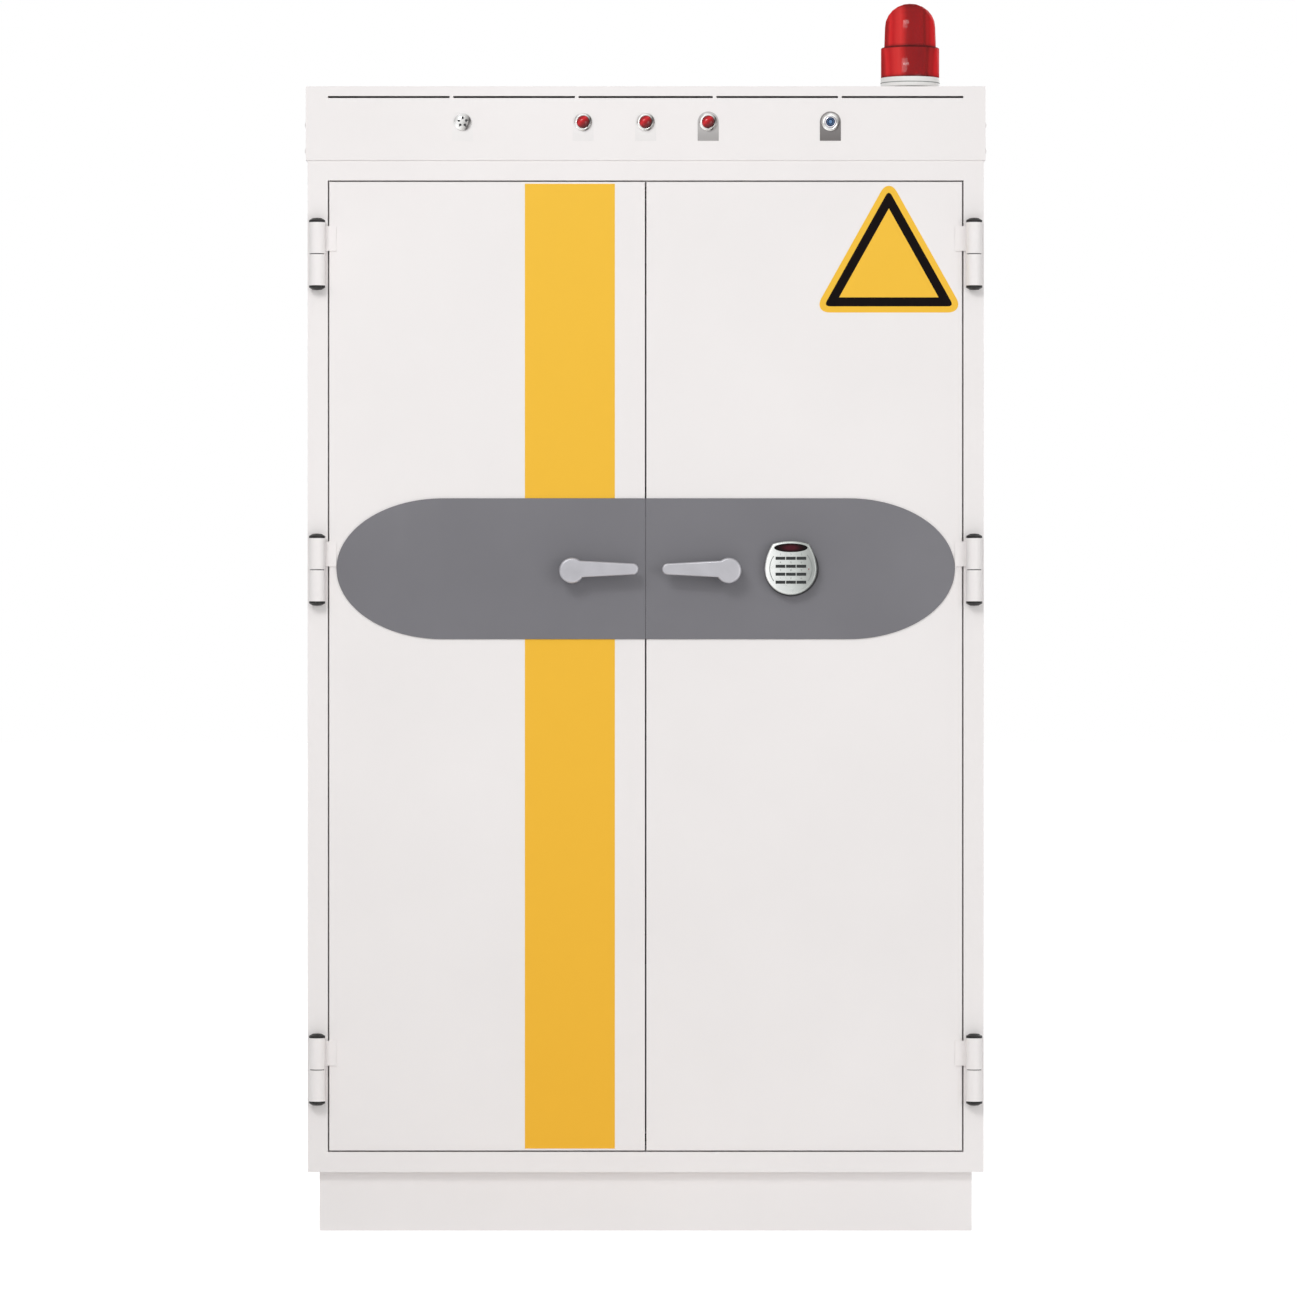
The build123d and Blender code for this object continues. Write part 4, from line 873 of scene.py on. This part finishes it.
# name, radius, rise, finish
for name, radius, rise, material in (
    ("button_dark_ring", 0.0080, 0.0009, navy_ring),
    ("button_light_ring", 0.0060, 0.00105, pale_blue),
    ("button_inner_ring", 0.0052, 0.0012, navy_ring),
    ("button_light_centre", 0.0033, 0.00135, pale_blue),
):
    disc = facing_front("cylinder", name, power_x, button_low.y + rim_height - rise / 2, device_z,
                        radius=radius, depth=rise, vertices=48)
    shape(disc, "FACE", lambda part: part.normal.z > 0.9)
    bpy.ops.mesh.inset(thickness=ring_edge, depth=ring_swell)
    settle(disc, material, "power_button")


# ---------------------------------------------------------------- controller, fan and inlet
# Moulded housings in the header: the controller on its floor, the fan and the mains inlet
# screwed to its back. Three plated pins stand in the inlet's socket.
dress(grey_moulding, "control_unit")
dress(black_nylon_and_hole_shade, "fan_frame", "power_inlet")
smooth_copy("fan_rotor", "fan_wheel", black_nylon_and_hole_shade, "fan_rotor")
inlet_low, inlet_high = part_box("power_inlet")
inlet_middle = (inlet_low + inlet_high) / 2
inlet_pin_sides = (0.002, 0.015, 0.004)
inlet_pin_sunk = 0.012
inlet_pin_edge = 0.0005
inlet_pins = ((-0.007, -0.002), (0.0, 0.002), (0.007, -0.002))  # sideways and up from the middle
pin_model = primitive("cube", "inlet_pin", size=1, location=(0, inlet_high.y - inlet_pin_sunk, 0))
pin_model.scale = inlet_pin_sides
bpy.ops.object.transform_apply(location=False, rotation=False, scale=True)
edge = pin_model.modifiers.new("edge", "BEVEL")
edge.width = inlet_pin_edge
edge.segments = 2
for number, (shift, rise) in enumerate(inlet_pins, start=1):
    pin = another(pin_model, f"inlet_pin_{number}", inlet_middle.x + shift, inlet_middle.z + rise)
    settle(pin, zinc, "cabinet")
bpy.data.objects.remove(pin_model)


# ---------------------------------------------------------------- beacon
# White ABS base ring on a black rubber gasket, screwed through the header's roof.
# A lamp and a turning mirror stand on it, under a red acrylic dome that twists into the ring.
smooth_copy("beacon_base", "beacon_base_ring", white_abs, "cabinet")
# Frosted glass: warm white and milky.
lamp_glass, tree, shader = finish("frosted lamp glass", "#F4EFE2", roughness=0.25, Transmission_Weight=0.3)
tint(tree, shader, grain(tree, 8), "#EFE9DA", "#F8F4EA")
smooth_copy("beacon_lamp", "beacon_bulb", lamp_glass, "cabinet")
# Vacuum coating: an even, bright mirror.
mirror, tree, shader = finish("vacuum coated mirror", "#D9D9D9", roughness=0.08, Metallic=1.0)
sheen(tree, shader, grain(tree, 12), glossy=0.05, dull=0.12)
smooth_copy("beacon_reflector", "beacon_mirror", mirror, "beacon_reflector")

beacon_low, beacon_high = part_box("beacon_lens")
beacon_centre = (beacon_low + beacon_high) / 2
ring_low, ring_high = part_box("beacon_base")
gasket_height = 0.004
gasket_radius = 0.0508
gasket_bulge = 0.0012
# Rubber: a matt, soft black.
rubber, tree, shader = finish("black neoprene gasket", "#202020", roughness=0.8)
relief(tree, shader, grain(tree, 1.5), depth_mm=0.1, strength=0.3)
tint(tree, shader, grain(tree, 10), "#1B1B1B", "#282828")
gasket = primitive("cylinder", "beacon_gasket", radius=gasket_radius, depth=gasket_height, vertices=96,
                   location=(beacon_centre.x, beacon_centre.y, ring_low.z + gasket_height / 2))
bulge = gasket.modifiers.new("bulge", "BEVEL")
bulge.width = gasket_bulge
bulge.segments = 4
settle(gasket, rubber, "cabinet")

seam_height = 0.0115
seam_radius = 0.0006
seam_squeeze = (0.994, 0.994, 1.6)
# The seam is a shadow line between the two mouldings of the ring.
seam_grey, tree, shader = finish("shaded seam of the base ring", "#8E9290", roughness=0.6)
tint(tree, shader, grain(tree, 8), "#868A88", "#979B99")
seam_centre = (beacon_centre.x, beacon_centre.y, ring_low.z + seam_height)
seam = primitive("torus", "beacon_base_seam", major_radius=(ring_high.x - ring_low.x) / 2,
                 minor_radius=seam_radius, major_segments=128, minor_segments=12, location=seam_centre)
shape(seam, "VERT")
bpy.ops.transform.resize(value=seam_squeeze, center_override=seam_centre)
settle(seam, seam_grey, "cabinet")

# Moulded acrylic: deep red and half clear. Its colour is painted light and shade: light and dark bands
# from side to side for the upright ribs inside it, a painted dark line at the step in its wall, and painted
# shade at its foot and top.
red_dome, tree, shader = finish("moulded red acrylic dome", "#E0202A", roughness=0.3, Specular_IOR_Level=0.0)
place = add(tree, "ShaderNodeTexCoord")
side = add(tree, "ShaderNodeSeparateXYZ", {0: place.outputs["Normal"]})
across = add(tree, "ShaderNodeMapRange", {
    "Value": side.outputs["X"], "From Min": -1.0, "From Max": 1.0, "To Min": 0.0, "To Max": 1.0})
painted_bands = add(tree, "ShaderNodeValToRGB", {"Fac": across.outputs[0]})
paint_ramp(painted_bands, (
    (0.0, "#6E1010"), (0.05, "#B41E20"), (0.09, "#EA3032"), (0.155, "#CE1C22"), (0.22, "#E23434"),
    (0.3, "#E83E3C"), (0.36, "#CC2828"), (0.42, "#A0161A"), (0.5, "#961216"), (0.62, "#921218"),
    (0.72, "#921216"), (0.775, "#7C0C0C"), (0.82, "#AC181C"), (0.87, "#A81014"), (0.925, "#E41C24"),
    (0.98, "#E0242A"), (1.0, "#A01418")))
upward = add(tree, "ShaderNodeMapRange", {
    "Value": own_place(tree).outputs["Z"], "From Min": beacon_low.z, "From Max": beacon_high.z,
    "To Min": 0.0, "To Max": 1.0})
painted_levels = add(tree, "ShaderNodeValToRGB", {"Fac": upward.outputs[0]})
paint_ramp(painted_levels, (
    (0.0, "#909090"), (0.03, "#F0F0F0"), (0.06, "#FFFFFF"), (0.385, "#FFFFFF"), (0.397, "#707070"),
    (0.412, "#707070"), (0.425, "#D8D8D8"), (0.45, "#FFFFFF"), (0.93, "#FFFFFF"), (1.0, "#808080")))
painted_red = add(tree, "ShaderNodeMixRGB", blend_type="MULTIPLY", feeds={
    "Fac": 1.0, "Color1": painted_bands.outputs["Color"], "Color2": painted_levels.outputs["Color"]})
tree.links.new(painted_red.outputs[0], shader.inputs["Base Color"])
# A painted glow: the unlit dome gives off a little light in its own colours.
tree.links.new(painted_red.outputs[0], shader.inputs["Emission Color"])
shader.inputs["Emission Strength"].default_value = 0.22
clear_share = 0.45
gloss_share = 0.016
clear = add(tree, "ShaderNodeBsdfTransparent", {"Color": linear("#F01822")})
body = add(tree, "ShaderNodeMixShader", {0: clear_share, 1: shader.outputs[0], 2: clear.outputs[0]})
gloss = add(tree, "ShaderNodeBsdfGlossy", {"Color": linear("#FFFFFF"), "Roughness": 0.08})
skin = add(tree, "ShaderNodeMixShader", {0: gloss_share, 1: body.outputs[0], 2: gloss.outputs[0]})
tree.links.new(skin.outputs[0], tree.nodes["Material Output"].inputs["Surface"])
smooth_copy("beacon_lens", "beacon_dome", red_dome, "cabinet", smooth_angle=50)
